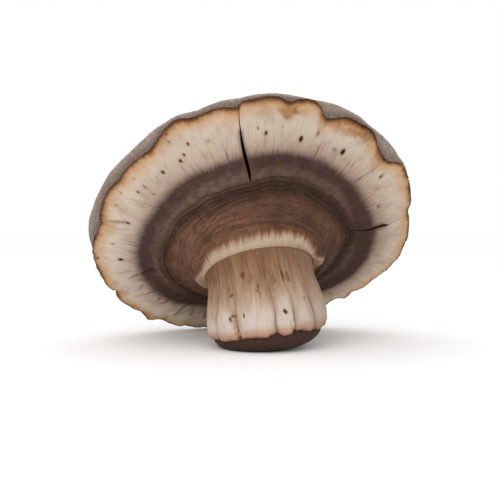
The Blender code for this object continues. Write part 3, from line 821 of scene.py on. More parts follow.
# %% Coloured rings
PURPLE_OUT = [(2, 43.5), (13, 42.2), (26, 42.2), (39, 42.5), (51, 43.1), (67, 43.0), (81, 42.4), (93, 42.1),
              (108, 41.7), (120, 42.4), (131, 42.2), (142, 41.9), (155, 42.8), (166, 43.7), (176, 44.6),
              (193, 45.3), (205, 45.1), (217, 43.5), (231, 39.3), (265, 39.8), (301, 42.4), (310, 45.2),
              (320, 47.0), (330, 46.9), (340, 46.5), (350, 45.0), (356, 44.4)]
PURPLE_IN = [(4, 35.9), (18, 36.2), (48, 36.9), (65, 37.3), (80, 36.8), (130, 36.6), (145, 37.6), (157, 38.4),
             (170, 39.0), (186, 39.2), (199, 39.2), (209, 37.5), (260, 36.6), (308, 38.0), (319, 40.3),
             (331, 39.8), (346, 37.9)]
LEDGE = [(2, 33.1), (12, 32.3), (26, 30.7), (42, 31.2), (58, 31.1), (70, 31.0), (80, 30.2), (92, 29.6),
         (104, 29.7), (120, 30.2), (134, 31.1), (144, 31.1), (156, 32.0), (168, 33.2), (184, 34.6),
         (200, 34.9), (210, 34.0), (260, 33.0), (308, 32.6), (325, 33.6), (338, 34.0), (346, 35.2),
         (351, 35.0), (357, 33.7)]
COLLAR_OUT = [(2, 22.2), (6, 21.0), (12, 20.6), (20, 20.8), (30, 21.4), (40, 21.8), (53, 21.8), (75, 21.5),
              (98, 21.2), (120, 21.3), (137, 21.5), (148, 21.3), (160, 21.1), (170, 21.5), (177, 22.3),
              (183, 23.6), (188, 24.6), (193, 24.9), (198, 23.4), (204, 21.0), (300, 20.5), (346, 20.6),
              (351, 22.2), (356, 23.4)]


def around(table, angle):
    """Radius of a closed ring at each angle."""
    first, radius = table[0]
    return outline_at(table + [(first + 360.0, radius)], angle)


rim_radius = cap_radius(RIM_AT, plain_angles)[:, None]
inward = np.where(past_rim[None, :] < 0.0, rim_radius - radii, -past_rim[None, :])
bands = np.stack([radii - around(table, angles) for table in (COLLAR_OUT, LEDGE, PURPLE_IN)], axis=2)
from_purple = radii - around(PURPLE_OUT, angles)
turns = np.radians(angles)
fan = np.stack([SIDE_RADIUS * np.cos(turns), SIDE_RADIUS * np.sin(turns), radii], axis=2)
cream_width = (rim_radius[:, 0] - around(PURPLE_OUT, plain_angles)).mean()
print("cream band is", round(float(cream_width), 1), "mm wide")


# %% [markdown]
# The marks become fields: one value for every point of the mesh, worked out from its distance to each mark.
# The same fields dent the mesh and colour it, and two of them, beside the splits and on the lower side, only
# paint shade.

# %% Fields of the marks
SPECK_FAR = 3.0              # mm, the largest distance from a speck that is kept
SPECK_SHARE, SPECK_STRETCH = 0.7, 0.68   # a speck's half width for its size, and its width for its length
TAN_STRENGTH = 1.8           # over 1, which the flesh material reads as tan instead of scorched
on_flesh = past_rim[None, :] < 0.0


def aside_of(middle):
    """Signed mm round the axis from an angle to every point."""
    return radii * np.radians(turned_from(angles, middle))


def speck_field():
    """mm from the edge of the nearest speck."""
    nearest = np.full(angles.shape, SPECK_FAR)
    flat_x, flat_y = radii * np.cos(turns), radii * np.sin(turns)
    for angle, radius, size in SPECKS:
        turn = math.radians(angle)
        offset_x, offset_y = flat_x - radius * math.cos(turn), flat_y - radius * math.sin(turn)
        outward = (offset_x * math.cos(turn) + offset_y * math.sin(turn)) * SPECK_STRETCH
        sideways = -offset_x * math.sin(turn) + offset_y * math.cos(turn)
        nearest = np.minimum(nearest, np.hypot(outward, sideways) - SPECK_SHARE * size)
    return np.where(on_flesh, nearest, SPECK_FAR)


def furrow_field():
    """1 along the middle of each furrow, 0 beside it."""
    field = np.zeros(angles.shape)
    for first, last, inner, outer in FURROWS:
        middle = first + (last - first) * (radii - inner) / (outer - inner)
        along = smooth(radii, inner - 1.0, inner + 1.0) * smooth(radii, outer, outer - 3.5)
        field = np.maximum(field, smooth(np.abs(aside_of(middle)), FURROW_WIDTH, 0.0) * along)
    return field


def bruise_field():
    """How strongly each point is bruised, with painted shade along the fold."""
    field = np.zeros(angles.shape)
    for angle, radius, half_width, half_length, strength in BRUISES:
        reach = np.hypot(aside_of(angle) / half_width, (radii - radius) / half_length)
        field = np.maximum(field, strength * smooth(reach, 1.3, 0.2))
    return field * on_flesh


def burn_field():
    """How strongly the rim is burnt, most in the tan patch."""
    field = np.zeros(angles.shape)
    for middle, half_width, strength in BURNT:
        away = np.abs(turned_from(angles, middle))
        field = np.maximum(field, strength * smooth(away, 1.4 * half_width, 0.5 * half_width))
    field *= smooth(inward, 8.0, 3.0)
    angle, depth, half_width, half_height = TAN_PATCH
    reach = np.hypot(aside_of(angle) / half_width, (inward - depth) / half_height)
    return np.maximum(field, TAN_STRENGTH * smooth(reach, 1.4, 0.2)) * on_flesh


def split_shade_field():
    """1 right beside the two deep splits, where painted shade darkens the flesh."""
    field = np.zeros(angles.shape)
    for split in (MAIN_SPLIT, SIDE_SPLIT):
        gap = np.abs(aside_of(curve(split["path"], radii))) - curve(split["width"], radii)
        field = np.maximum(field, smooth(gap, 1.3, 0.0) * smooth(curve(split["depth"], radii), 0.5, 2.5))
    return field * on_flesh


def painted_shade_field():
    """How much painted shade darkens the underside: most on its lower side, a little at the right."""
    lower = 0.8 * smooth(np.abs(turned_from(angles, 285.0)), 92.0, 55.0)
    right = 0.35 * smooth(np.abs(turned_from(angles, 30.0)), 75.0, 40.0)
    return np.maximum(lower, right)


specks, furrows, burn = speck_field(), furrow_field(), burn_field()
print("points in a speck:", int((specks < 0.0).sum()), "and in a furrow:", int((furrows > 0.5).sum()))


# %% [markdown]
# Relief comes next: grooves and a shallow fold along the radius in the cream band, a dip in the taupe band,
# the swollen collar, and the pits. The splits are cut last, by pushing their lines into the cap.

# %% Relief of the cap
CREAM_WAVE, CREAM_RIPPLE = 0.14, 0.07    # heights in mm, like those on the next two lines
LOW_RIDGE, LOW_RIDGES = 0.12, 52         # ridges along the radius at the lower left, and how many in a turn
RIM_WAVE, TAUPE_DIP, DISC_WAVE, COLLAR_SWELL, PIT_DEPTH, SKIN_WAVE = 0.30, 0.35, 0.10, 0.35, 0.22, 0.12
# the inside of the splits is near-black painted shade
SPLIT_DARKNESS = (1.0, 0.66)             # how dark the main split and the one at the right are inside


def cap_relief():
    """Height in mm by which every point of the cap is raised."""
    from_collar, from_ledge = bands[..., 0], bands[..., 1]
    cream_share = smooth(from_purple, -1.0, 4.0)
    low_left = smooth(np.abs(turned_from(angles, 225.0)), 42.0, 18.0)
    ridges = np.sin(turns * LOW_RIDGES + 0.5 * waves(angles, 4, 12, 7))
    relief = CREAM_WAVE * waves(angles, 18, 60, 5, radii) * cream_share
    relief += CREAM_RIPPLE * waves(angles, 60, 160, 6, radii) * cream_share
    relief += LOW_RIDGE * ridges * low_left * cream_share
    relief += RIM_WAVE * waves(angles, 14, 40, 8) * smooth(inward, 7.0, 1.0)
    relief -= TAUPE_DIP * smooth(from_ledge, 0.8, 1.4) * smooth(from_ledge, 6.5, 3.0)
    relief += DISC_WAVE * waves(angles, 10, 50, 9, radii) * smooth(from_ledge, 1.0, -3.0)
    relief += COLLAR_SWELL * smooth(from_collar, 1.0, -0.8) * (1.0 + 0.4 * waves(angles, 60, 160, 10))
    relief -= PIT_DEPTH * smooth(specks, 0.3, -0.5)
    relief -= FURROW_DEPTH * furrows
    relief -= FOLD_DEPTH * smooth(np.abs(aside_of(FOLD_ANGLE)), 1.8, 0.0) * smooth(radii, 42.0, 50.0)
    on_skin = SKIN_WAVE * waves(angles, 12, 50, 11, past_rim[None, :]) * smooth(past_rim, 1.0, 8.0)
    relief = np.where(on_flesh, relief, on_skin)
    relief *= smooth(np.arange(relief.shape[1]), 1.0, 4.0)[None, :]
    relief[:, -3:] = 0.0
    return relief


def groove_share(share):
    """How much of a split's depth a line has, from its middle out to its side."""
    return 1.0 - np.abs(share) ** 0.8


def dark_share(share):
    """How much painted shade a line in a split has: all of it, up to a thin border at its side."""
    return smooth(np.abs(share), 1.0, 0.89)


def split_fields():
    """mm that the splits cut at every point, and how far it lies in a split's painted shade or in a hairline.
    """
    cut, crack, hairline = np.zeros((3, *angles.shape))
    for number in range(len(CAP_SPLITS)):
        inside = (cap_lines["split"] == number) & (cap_lines["beside"] == 0.0)
        share = cap_lines["share"][inside]
        shape = groove_share(share)[:, None] * split_depths[None, :, number]
        cut[inside] += shape
        if number < len(SPLIT_DARKNESS):
            dark = SPLIT_DARKNESS[number] * smooth(split_depths[:, number], 0.1, 0.9)
            crack[inside] = dark_share(share)[:, None] * dark
        else:
            hairline[inside] = shape / HAIRLINE_DEPTH
    return cut, crack, hairline


down_from_rim = ring_axes(RIM_RING)[2]
relief = cap_relief()
cut, crack, hairline = split_fields()
points = points + relief[..., None] * outward_normals(points, down_from_rim)
points = points - cut[..., None] * down_from_rim
print("deepest split:", round(float(cut.max()), 1), "mm, relief from", relief.min().round(2), "to",
      relief.max().round(2), "mm")


# %% [markdown]
# The grid is whole now. It is closed by two points, the middle of the seat's ceiling and the crown, and its
# rows from the lip on wear the skin. What the flesh material reads goes along as five vectors.

# %% Cap mesh
row_count = points.shape[1]
skin_from = sum(entry[4] for entry in CAP_PROFILE[:SKIN_AT])
ceiling = on_ring(SEAT_RING, 0.0, 0.0, CEILING)
crown = on_ring(RIM_RING, 0.0, 0.0, -DOME_RISE)
# The folds carry the furrows and bruises, and painted shade beside the splits, on the lower side and at the
# right
cap = grid_object(
    "mushroom_cap", points, [ceiling, crown], [flesh, skin],
    [0 if row < skin_from else 1 for row in range(row_count - 1)],
    {"fan": fan, "bands": bands, "edge": np.stack([from_purple, inward, crack], axis=2),
     "marks": np.stack([specks, hairline, burn], axis=2),
     "folds_and_painted_shade": np.stack([np.maximum(furrows, bruise_field()), split_shade_field(), painted_shade_field()], axis=2)})


# %% [markdown]
# ## The stem
#
# The stem is one body as well: a thick stalk, tan at the top and nearly white below, that ends in swollen
# toes over a dark, smooth foot. Creases part the toes. Those at the front bend as the photograph shows, and
# the ones behind are a guess of the same kind.

# %% Stem rings, creases and marks
# Each ring: ((centre, tilt, roll), radius, share of the full crease depth, rows up to the next)
STEM_PROFILE = [
    (((0.2, 9.5, 27.0), 24.0, 10.6), 19.1, 0.0, 2),
    (((0.2, 9.5, 27.0), 24.0, 10.6), 19.36, 0.0, 12),
    (((0.9, 7.6, 22.5), 17.0, 9.0), 19.2, 0.1, 12),
    (((1.6, 6.0, 18.5), 12.0, 8.5), 20.0, 0.25, 14),
    (((2.2, 4.3, 14.0), 7.0, 8.0), 20.8, 0.55, 15),
    (((2.8, 3.0, 9.6), 3.0, 7.0), 21.0, 1.0, 9),
    (((3.1, 2.4, 7.0), 1.2, 6.5), 20.55, 1.0, 7),
    (((3.2, 2.2, 5.7), 0.0, 6.2), 19.5, 0.9, 4),
    (((3.2, 2.2, 5.5), 0.0, 6.2), 18.8, 0.4, 3),
    (((3.1, 2.0, 4.7), 0.0, 6.0), 18.8, 0.1, 6),
    (((2.5, 1.3, 2.4), 0.0, 4.0), 17.1, 0.0, 5),
    (((1.0, 0.6, 0.8), 0.0, 2.0), 14.3, 0.0, 4),
    (((0.0, 0.0, 0.0), 0.0, 0.0), 10.5, 0.0, 0)]
TOE_AT = 7                   # ring at the toes' lower edge
# Creases at the front: angle and the path of (height in mm, angle) that it follows down the stem
FRONT_CREASES = [
    (36, [(7.9, 34), (10.3, 35), (13.4, 36), (17.0, 39.5), (21.6, 45), (25.0, 47)]),
    (62, [(8.0, 61.5), (12.0, 62), (15.8, 62), (19.6, 63.5), (21.7, 66), (23.7, 68)]),
    (81, [(7.4, 81.5), (11.1, 82), (14.3, 81), (17.2, 82), (21.1, 83.5)]),
    (100, [(6.5, 101), (9.6, 99.5), (12.6, 98.5), (16.4, 98)]),
    (119, [(4.7, 121), (6.1, 120), (8.5, 120.5), (10.9, 121.5), (12.8, 121), (15.1, 120)]),
    (153, [(3.7, 152.5), (6.5, 150.5), (9.8, 149), (12.2, 145.5), (15.9, 138), (18.0, 136)])]
BACK_CREASES = [10, 178, 203, 226, 250, 272, 296, 318, 344]
FAINT_CREASE, FAINT_SHARE = 100, 0.35    # the crease that hardly shows, and how deep it is beside the others
CREASE_DEPTH = 0.45          # mm
TOE_BULGE = 2.0              # mm by which a toe stands out over the creases beside it
MEAN_BULGE = 0.75            # of a toe's bulge, where the ring has its own radius
LIFT_SHARE = 0.6             # of the lift of the toes' edge that the ring above it takes
SCALLOP_LOW, SCALLOP_HIGH = -0.4, 0.35   # mm, toes' lower edge behind: at a toe's middle and at a crease
# Lower edge of the toes at the front: (angle, mm above the ring's plane)
TOE_EDGE = [(21, 0.1), (28, -0.2), (36, 0.2), (43, 0.0), (51, 0.5), (58, 1.0), (63, 1.1), (67, 0.4),
            (72, -0.1), (78, 0.35), (81, 1.0), (84, 1.0), (92, 0.0), (100, 0.2), (112, 0.3), (119, -0.05),
            (129, -0.4), (140, -0.6), (153, -0.5), (172, -0.2), (178, 0.3)]
# Bruises and holes: angle, height in mm, half width, half height, and how dark from 0 to 1
STEM_MARKS = [
    (108, 26.0, 1.0, 1.2, 0.8), (124.5, 21.3, 0.3, 1.2, 0.75), (123.3, 18.9, 0.7, 0.45, 0.85),
    (121.7, 19.4, 0.5, 0.6, 0.75), (94, 22.4, 0.4, 1.3, 0.75), (95.5, 21.0, 0.6, 0.5, 0.6),
    (93, 19.7, 0.25, 1.2, 0.7),
    (72.5, 14.3, 0.75, 0.8, 1.0), (111, 12.8, 0.3, 0.75, 1.0), (126, 11.1, 0.5, 0.9, 0.8),
    (122.5, 12.3, 0.9, 0.5, 0.75), (121.5, 7.5, 0.6, 2.6, 0.35), (145.5, 23.4, 0.9, 2.2, 0.6),
    (99.5, 24.2, 0.25, 0.25, 0.9), (68.0, 26.0, 0.6, 2.2, 0.75), (62.5, 25.5, 0.5, 1.8, 0.65),
    (78, 25.3, 0.6, 2.6, 0.55), (86.5, 26.5, 0.5, 1.6, 0.5), (49.5, 18.4, 0.3, 0.3, 0.8),
    (63.5, 11.4, 0.35, 0.9, 1.0), (104, 18.2, 1.2, 1.0, 0.25), (121, 5.2, 0.7, 0.7, 0.6)]
print("creases round the stem:", len(FRONT_CREASES) + len(BACK_CREASES))


# %% [markdown]
# The stem's flesh is fibrous along its length, so its noises are drawn out along the stem. Colour follows the
# share of the way down to the toes' edge, and turns pinkish brown right at it. The foot below has no fibres:
# it is smooth and dark, where the stem was in the ground.

# %% Stem material
def stem_material():
    """Fibrous stem flesh: tan above, nearly white toes, pinkish brown at their edge and a dark foot."""
    material, tree, shader = new_material("mushroom stem, grown, fibrous", 0.72, 0.1)
    wrap = add(tree, ATTRIBUTE, out="Vector", attribute_name="wrap")
    share, below_toes, crease = stored_three(tree, "down")
    bruise, hollow, shade = stored_three(tree, "stain")
    fibre = stretched_noise(tree, wrap, (1.0, 1.0, 0.05), 2.2, 3.0)
    strand = stretched_noise(tree, wrap, (1.0, 1.0, 0.10), 0.35, 3.0)
    blotch = stretched_noise(tree, wrap, (1.0, 1.0, 0.4), 0.20, 3.0)
    grain = stretched_noise(tree, wrap, (1.0, 1.0, 1.0), 1.6, 3.0)

    # Painted shade: tan runs further down in the hollows between the toes than over their middles
    way = add(tree, PLUS, shifted(tree, share, (strand, 0.24), (blotch, 0.65)), hollow, -0.13)
    tone = add(tree, LAYER, "#7b5840", add(tree, SOFT, way, 0.00, 0.32), "#93745a")
    tone = add(tree, LAYER, tone, add(tree, SOFT, way, 0.31, 0.65), "#ad9680")
    tone = add(tree, LAYER, tone, add(tree, SOFT, way, 0.53, 0.82), "#c0b2a7")
    tone = add(tree, LAYER, tone, add(tree, SOFT, fibre, 0.52, 0.8, 0.35), "#80644e")
    strokes = add(tree, TIMES, add(tree, SOFT, way, 0.62, 0.05), add(tree, SOFT, fibre, 0.44, 0.62, 0.75))
    tone = add(tree, LAYER, tone, strokes, "#5a3d2a")
    # painted shade in the hollows between the toes
    tone = add(tree, LAYER, tone, add(tree, SOFT, hollow, 0.30, 1.0, 0.25), "#8b6b58")
    spots = stretched_noise(tree, wrap, (1.0, 1.0, 0.35), 0.42, 3.0)
    spots = add(tree, TIMES, add(tree, SOFT, spots, 0.56, 0.70), add(tree, SOFT, way, 0.80, 0.20, 0.55))
    tone = add(tree, LAYER, tone, spots, "#7a5138")
    toe_edge = shifted(tree, below_toes, (fibre, 1.0), (strand, 2.4))
    tone = add(tree, LAYER, tone, add(tree, SOFT, toe_edge, -4.2, -0.8, 0.75), "#a9795e")
    # darker right at the toes' edge: its pinkish brown, and painted shade where the toes curve under
    tone = add(tree, LAYER, tone, add(tree, SOFT, toe_edge, -1.3, 0.1, 0.85), "#7f513b")
    broken = shifted(tree, bruise, (fibre, 0.9), (grain, 0.6))
    broken = add(tree, TIMES, broken, add(tree, SOFT, bruise, 0.03, 0.25))
    tone = add(tree, LAYER, tone, add(tree, SOFT, broken, 0.15, 0.65, 0.8), "#70482c")
    tone = add(tree, LAYER, tone, add(tree, SOFT, broken, 0.60, 1.0), "#2f2015")
    # painted shade in the creases
    tone = add(tree, LAYER, tone, add(tree, SOFT, crease, 0.45, 1.0, 0.5), "#5c4030")
    # painted shade on the stem's right side
    tone = add(tree, LAYER, tone, shade, "#836b5b")
    foot = add(tree, LAYER, "#34241f", add(tree, SOFT, grain, 0.3, 0.7), "#4a352d")
    tone = add(tree, LAYER, tone, add(tree, SOFT, below_toes, 0.0, 0.5), foot)

    height = add(tree, TIMES, fibre, 0.14)
    height = add(tree, PLUS, height, strand, 0.25)
    height = add(tree, PLUS, height, grain, 0.05)
    coat(tree, shader, tone, height, 0.6)
    return material


stem_flesh = stem_material()
print(stem_flesh.name, "has", len(stem_flesh.node_tree.nodes), "nodes")


# %% [markdown]
# The stem's grid is made like the cap's, with the creases as its splits. Each crease carries lines of its own
# down its winding path, and between two creases the stem bulges out as a toe.

# %% Rows and lines of the stem
STEM_LINE_STEP = 0.50        # degrees between the plain lines of the stem
LEAST_STRETCH = 0.5          # mm, so that two rings that nearly touch still make a smooth curve
CREASE_WIDTH = [(2.0, 0.22), (14.0, 0.16), (20.0, 0.10)]
BENT_CREASE = 153            # the crease that leans most, so it bends more of the lines beside it


def crease_split(angle, path):
    """A crease as a split of the stem's grid."""
    return {"angle": angle, "spread": 16.0 if angle == BENT_CREASE else 9.0, "guard": 3.4, "path": path,
            "shares": (-1.0, -0.5, 0.0, 0.5, 1.0), "beside": (0.7, 1.6), "width": CREASE_WIDTH}


STEM_SPLITS = ([crease_split(angle, path) for angle, path in FRONT_CREASES]
               + [crease_split(angle, [(0.0, angle), (30.0, angle)]) for angle in BACK_CREASES])
stem_lines = spread_lines(STEM_SPLITS, STEM_LINE_STEP)


def toe_outline():
    """Lower edge of the toes all the way round: as seen at the front, and scalloped behind."""
    outline = list(TOE_EDGE)
    behind = BACK_CREASES[1:] + [BACK_CREASES[0] + 360]
    for here, after in zip(behind, behind[1:]):
        outline += [((here + after) / 2, SCALLOP_LOW), (after, SCALLOP_HIGH)]
    return outline + [(TOE_EDGE[0][0] + 360, TOE_EDGE[0][1])]


TOE_LINE = toe_outline()


def toe_lift(angle):
    """How far the toes' lower edge lies above its ring, in mm."""
    return outline_at(TOE_LINE, angle)


def toe_bulge(plain):
    """0 at each crease and 1 halfway between two."""
    stops = np.array(sorted([split["angle"] for split in STEM_SPLITS if split["angle"] != FAINT_CREASE]))
    stops = np.append(stops, stops[0] + 360.0)
    along = np.interp((plain - stops[0]) % 360.0 + stops[0], stops, np.arange(len(stops)))
    return np.abs(np.sin(np.pi * along)) ** 0.85


def stem_control(j, angle, plain):
    """x, y, z, crease share and share of a hollow of every line where it passes one ring of the profile."""
    ring, radius, share, _ = STEM_PROFILE[j]
    bulge = toe_bulge(plain)
    out = radius + share * TOE_BULGE * (bulge - MEAN_BULGE)
    place = on_ring(ring, angle, out, -SEAT_DEPTH if j == 0 else 0.0)
    if j in (TOE_AT, TOE_AT + 1):
        place[:, 2] += toe_lift(angle)
    if j == TOE_AT - 1:
        place[:, 2] += LIFT_SHARE * toe_lift(angle)
    return np.column_stack([place, np.full(len(angle), share), share * (1.0 - bulge) ** 2])


def stem_grid():
    """Points of the stem, lines by rows, their angles, crease shares and hollows, each row's way down in mm,
    and how far down the toes end."""
    steps = [entry[3] for entry in STEM_PROFILE[:-1]]
    rings = [stem_control(j, EVERYWHERE, EVERYWHERE)[:, :3] for j in range(len(STEM_PROFILE))]
    spans = [float(np.linalg.norm(b - a, axis=1).mean()) for a, b in zip(rings, rings[1:])]
    lengths = [max(LEAST_STRETCH, span) for span in spans]
    plain = stem_lines["angle"] + np.degrees(stem_lines["beside"] / SIDE_RADIUS)
    starts = np.array([split["angle"] for split in STEM_SPLITS], float)
    columns, angles_here, paths = [], [], []
    for k, t in row_places(steps):
        at_splits = smooth_row(lambda j: stem_control(j, starts, starts), lengths, k, t)
        angle = bent_angles(stem_lines, STEM_SPLITS, at_splits[:, 2], STEM_PROFILE[k][1])
        columns.append(smooth_row(lambda j: stem_control(j, angle, plain), lengths, k, t))
        angles_here.append(angle)
        paths.append(sum(lengths[:k]) + t * lengths[k] - lengths[0])
    grid = np.stack(columns, axis=1)
    toe_path = sum(lengths[:TOE_AT]) - lengths[0]
    return grid[..., :3], np.stack(angles_here, axis=1), grid[..., 3], grid[..., 4], np.array(paths), toe_path


stem_points, stem_angles, crease_share, hollow, stem_path, toe_path = stem_grid()
print("grid of the stem:", stem_points.shape[:2], "and its toes end", round(toe_path, 1), "mm down")


# %% [markdown]
# The creases sink into the stem, the holes a little too, and soft waves run over the rest. Under the toes
# and in the seat the waves fade, so that the stem keeps its gap there and the foot stays smooth.

# %% Relief of the stem
MARK_RADIUS = 20.5           # mm from the stem's axis, where the marks have the width that they are given
STEM_RADIUS = 20.0           # mm, of the round that the stem's patterns lie on
STEM_WAVE, STEM_RIPPLE, HOLE_DEPTH = 0.10, 0.05, 0.3
STALK_ROW = 30               # a row on the stalk, where outward is told from inward


def crease_field():
    """How deep each point lies in a crease, from 0 to 1."""
    inside = (stem_lines["split"] >= 0) & (stem_lines["beside"] == 0.0)
    share = np.where(inside, groove_share(stem_lines["share"]), 0.0)
    faint = [number for number, split in enumerate(STEM_SPLITS) if split["angle"] == FAINT_CREASE]
    share = np.where(np.isin(stem_lines["split"], faint), FAINT_SHARE * share, share)
    return share[:, None] * np.clip(crease_share, 0.0, 1.0)


def stain_field():
    """How dark each point is in a bruise or a hole."""
    height = stem_points[..., 2]
    ragged = 0.25 * np.sin(height * 3.0 + stem_angles) + 0.25 * waves(stem_angles, 60, 140, 12)
    field = np.zeros(stem_angles.shape)
    for angle, middle, half_width, half_height, strength in STEM_MARKS:
        sideways = np.radians(turned_from(stem_angles, angle)) * MARK_RADIUS / half_width
        reach = np.hypot(sideways, (height - middle) / half_height) + (1.3 - strength) * ragged
        field = np.maximum(field, strength * smooth(reach, 1.6, 0.5))
    return field


def stem_outward():
    """Unit normals of the stem that point away from its middle."""
    outward = outward_normals(stem_points, np.zeros(3))
    spokes = stem_points - stem_points.mean(axis=0, keepdims=True)
    return outward * np.sign((outward * spokes)[:, STALK_ROW].sum(axis=1).mean())


crease, stain = crease_field(), stain_field()
stem_relief = STEM_WAVE * waves(stem_angles, 16, 50, 13, stem_path)
stem_relief += STEM_RIPPLE * waves(stem_angles, 50, 120, 14, stem_path)
stem_relief *= smooth(stem_path, 0.0, 4.0) * smooth(stem_path, toe_path + 6.0, toe_path + 1.0)
stem_relief -= CREASE_DEPTH * crease + HOLE_DEPTH * smooth(stain, 0.7, 1.0)
stem_points = stem_points + stem_relief[..., None] * stem_outward()
print("relief of the stem from", stem_relief.min().round(2), "to", stem_relief.max().round(2), "mm")


# %% [markdown]
# The stem's mesh carries three vectors for its material: a place on a round of one radius, so that no noise
# is squeezed where the stem is thin, the way down to the toes' edge, and the stains, with the hollows between
# the toes and the painted shade of the right side.

# %% Stem mesh
stem_turns = np.radians(stem_angles)
way_down = np.broadcast_to(stem_path, stem_angles.shape)
wrap = np.stack([STEM_RADIUS * np.cos(stem_turns), STEM_RADIUS * np.sin(stem_turns), way_down], axis=2)
# painted shade, stronger towards the stem's right side
painted_shade_right = 0.45 * smooth(wrap[..., 0], 5.0, 19.0)
down = np.stack([way_down / toe_path, way_down - toe_path, crease], axis=2)
stem = grid_object(
    "mushroom_stem", stem_points, [on_ring(SEAT_RING, 0.0, 0.0, -SEAT_DEPTH), np.zeros(3)], [stem_flesh],
    [0] * (stem_points.shape[1] - 1),
    {"wrap": wrap, "down": down, "stain": np.stack([stain, np.clip(hollow, 0.0, 1.0), painted_shade_right], axis=2)})


# %% [markdown]
# ## Fibres
#
# Two surfaces are hairy close up: the collar, where torn fibres lie out over the brown disc, and the crown,
# where fine fibres lie flat on the skin. Hair curves are dropped when the model is exported, and thousands of
# copied objects would be slow. Geometry Nodes scatter points on a strip of the surface, stand one tapered
# fibre on each, lay it along the direction stored on the strip and join the lot into one mesh.

# %% Fibre node tree
FIBRE_POINTS, FIBRE_SIDES = 5, 3
TIP_LOSS = 0.85              # of its width that a fibre has lost at its tip
SMALLEST, LARGEST = 0.55, 1.25           # sizes of a fibre for its given length
SWAY_LEAST, SWAY_MOST = (-0.04, -0.07, 0.0), (0.04, 0.07, 0.0)      # radians


def fibre_tree(name):
    """Geometry Nodes that scatter tapered fibres over a strip, laid along its outward attribute."""
    tree = bpy.data.node_groups.new(name, "GeometryNodeTree")
    face = tree.interface
    face.new_socket("Strip", in_out="INPUT", socket_type="NodeSocketGeometry")
    for label, value in (("Length", 0.004), ("Width", 0.00012), ("Lift", 0.12), ("Per square metre", 3e6)):
        face.new_socket(label, in_out="INPUT", socket_type="NodeSocketFloat").default_value = value
    face.new_socket("Seed", in_out="INPUT", socket_type="NodeSocketInt").default_value = 1
    face.new_socket("Material", in_out="INPUT", socket_type="NodeSocketMaterial")
    face.new_socket("Fibres", in_out="OUTPUT", socket_type="NodeSocketGeometry")
    given = tree.nodes.new("NodeGroupInput").outputs

    cover = add(tree, "GeometryNodeInputNamedAttribute", {"Name": "cover"}, data_type="FLOAT")
    density = add(tree, TIMES, given["Per square metre"], cover)
    scatter = add(tree, "GeometryNodeDistributePointsOnFaces",
                  {"Mesh": given["Strip"], "Density": density, "Seed": given["Seed"]}).node
    outward_way = add(tree, "GeometryNodeInputNamedAttribute", {"Name": "outward"}, data_type="FLOAT_VECTOR")
    laid = add(tree, "FunctionNodeAlignRotationToVector", {"Vector": outward_way}, axis="Z")
    laid = add(tree, "FunctionNodeAlignRotationToVector",
               {"Rotation": laid, "Vector": scatter.outputs["Normal"]}, axis="X", pivot_axis="Z")
    sway = add(tree, "FunctionNodeRandomValue",
               {0: SWAY_LEAST, 1: SWAY_MOST, "Seed": given["Seed"]},
               data_type="FLOAT_VECTOR")
    laid = add(tree, "FunctionNodeRotateRotation", {"Rotation": laid, "Rotate By": sway},
               rotation_space="LOCAL")

    top = add(tree, "ShaderNodeCombineXYZ", {"Z": given["Length"]})
    line = add(tree, "GeometryNodeCurvePrimitiveLine", {"End": top})
    line = add(tree, "GeometryNodeResampleCurve", {"Curve": line, "Count": FIBRE_POINTS})
    along = add(tree, "GeometryNodeSplineParameter")
    rise = product(tree, along, along, given["Length"], given["Lift"])
    lift = add(tree, "ShaderNodeCombineXYZ", {"X": rise})
    line = add(tree, "GeometryNodeSetPosition", {"Geometry": line, "Offset": lift})
    line = add(tree, "GeometryNodeStoreNamedAttribute", {"Geometry": line, "Name": "along", "Value": along},
               data_type="FLOAT", domain="POINT")
    taper = add(tree, PLUS, 1.0, along, -TIP_LOSS)
    line = add(tree, "GeometryNodeSetCurveRadius", {"Curve": line, "Radius": taper})
    half = add(tree, TIMES, given["Width"], 0.5)
    section = add(tree, "GeometryNodeCurvePrimitiveCircle", {"Resolution": FIBRE_SIDES, "Radius": half},
                  mode="RADIUS")
    fibre = add(tree, "GeometryNodeCurveToMesh", {"Curve": line, "Profile Curve": section, "Fill Caps": True})

    size = add(tree, "FunctionNodeRandomValue", {2: SMALLEST, 3: LARGEST, "Seed": given["Seed"]}, out="Value",
               data_type="FLOAT")
    copies = add(tree, "GeometryNodeInstanceOnPoints",
                 {"Points": scatter.outputs["Points"], "Instance": fibre, "Rotation": laid, "Scale": size})
    tint = add(tree, "FunctionNodeRandomValue", {2: 0.0, 3: 1.0, "Seed": given["Seed"]}, out="Value",
               data_type="FLOAT")
    copies = add(tree, "GeometryNodeStoreNamedAttribute", {"Geometry": copies, "Name": "tint", "Value": tint},
                 data_type="FLOAT", domain="INSTANCE")
    joined = add(tree, "GeometryNodeRealizeInstances", {"Geometry": copies})
    joined = add(tree, "GeometryNodeSetMaterial", {"Geometry": joined, "Material": given["Material"]})
    result = tree.nodes.new("NodeGroupOutput")
    tree.links.new(joined, result.inputs["Fibres"])
    return tree


def strip_object(name, strip_points, cover):
    """Band of faces from some rows of a grid, with the way out along its lines and each row's cover."""
    count, rows = strip_points.shape[:2]
    mesh = bpy.data.meshes.new(name)
    mesh.from_pydata((strip_points.reshape(-1, 3) * MM).tolist(), [], grid_quads(count, rows)[2].tolist())
    way = unit_vectors(np.gradient(strip_points, axis=1)).astype(np.float32)
    covers = np.tile(cover, count).astype(np.float32)
    mesh.attributes.new("outward", "FLOAT_VECTOR", "POINT").data.foreach_set("vector", way.ravel())
    mesh.attributes.new("cover", "FLOAT", "POINT").data.foreach_set("value", covers)
    return linked_object(name, mesh)


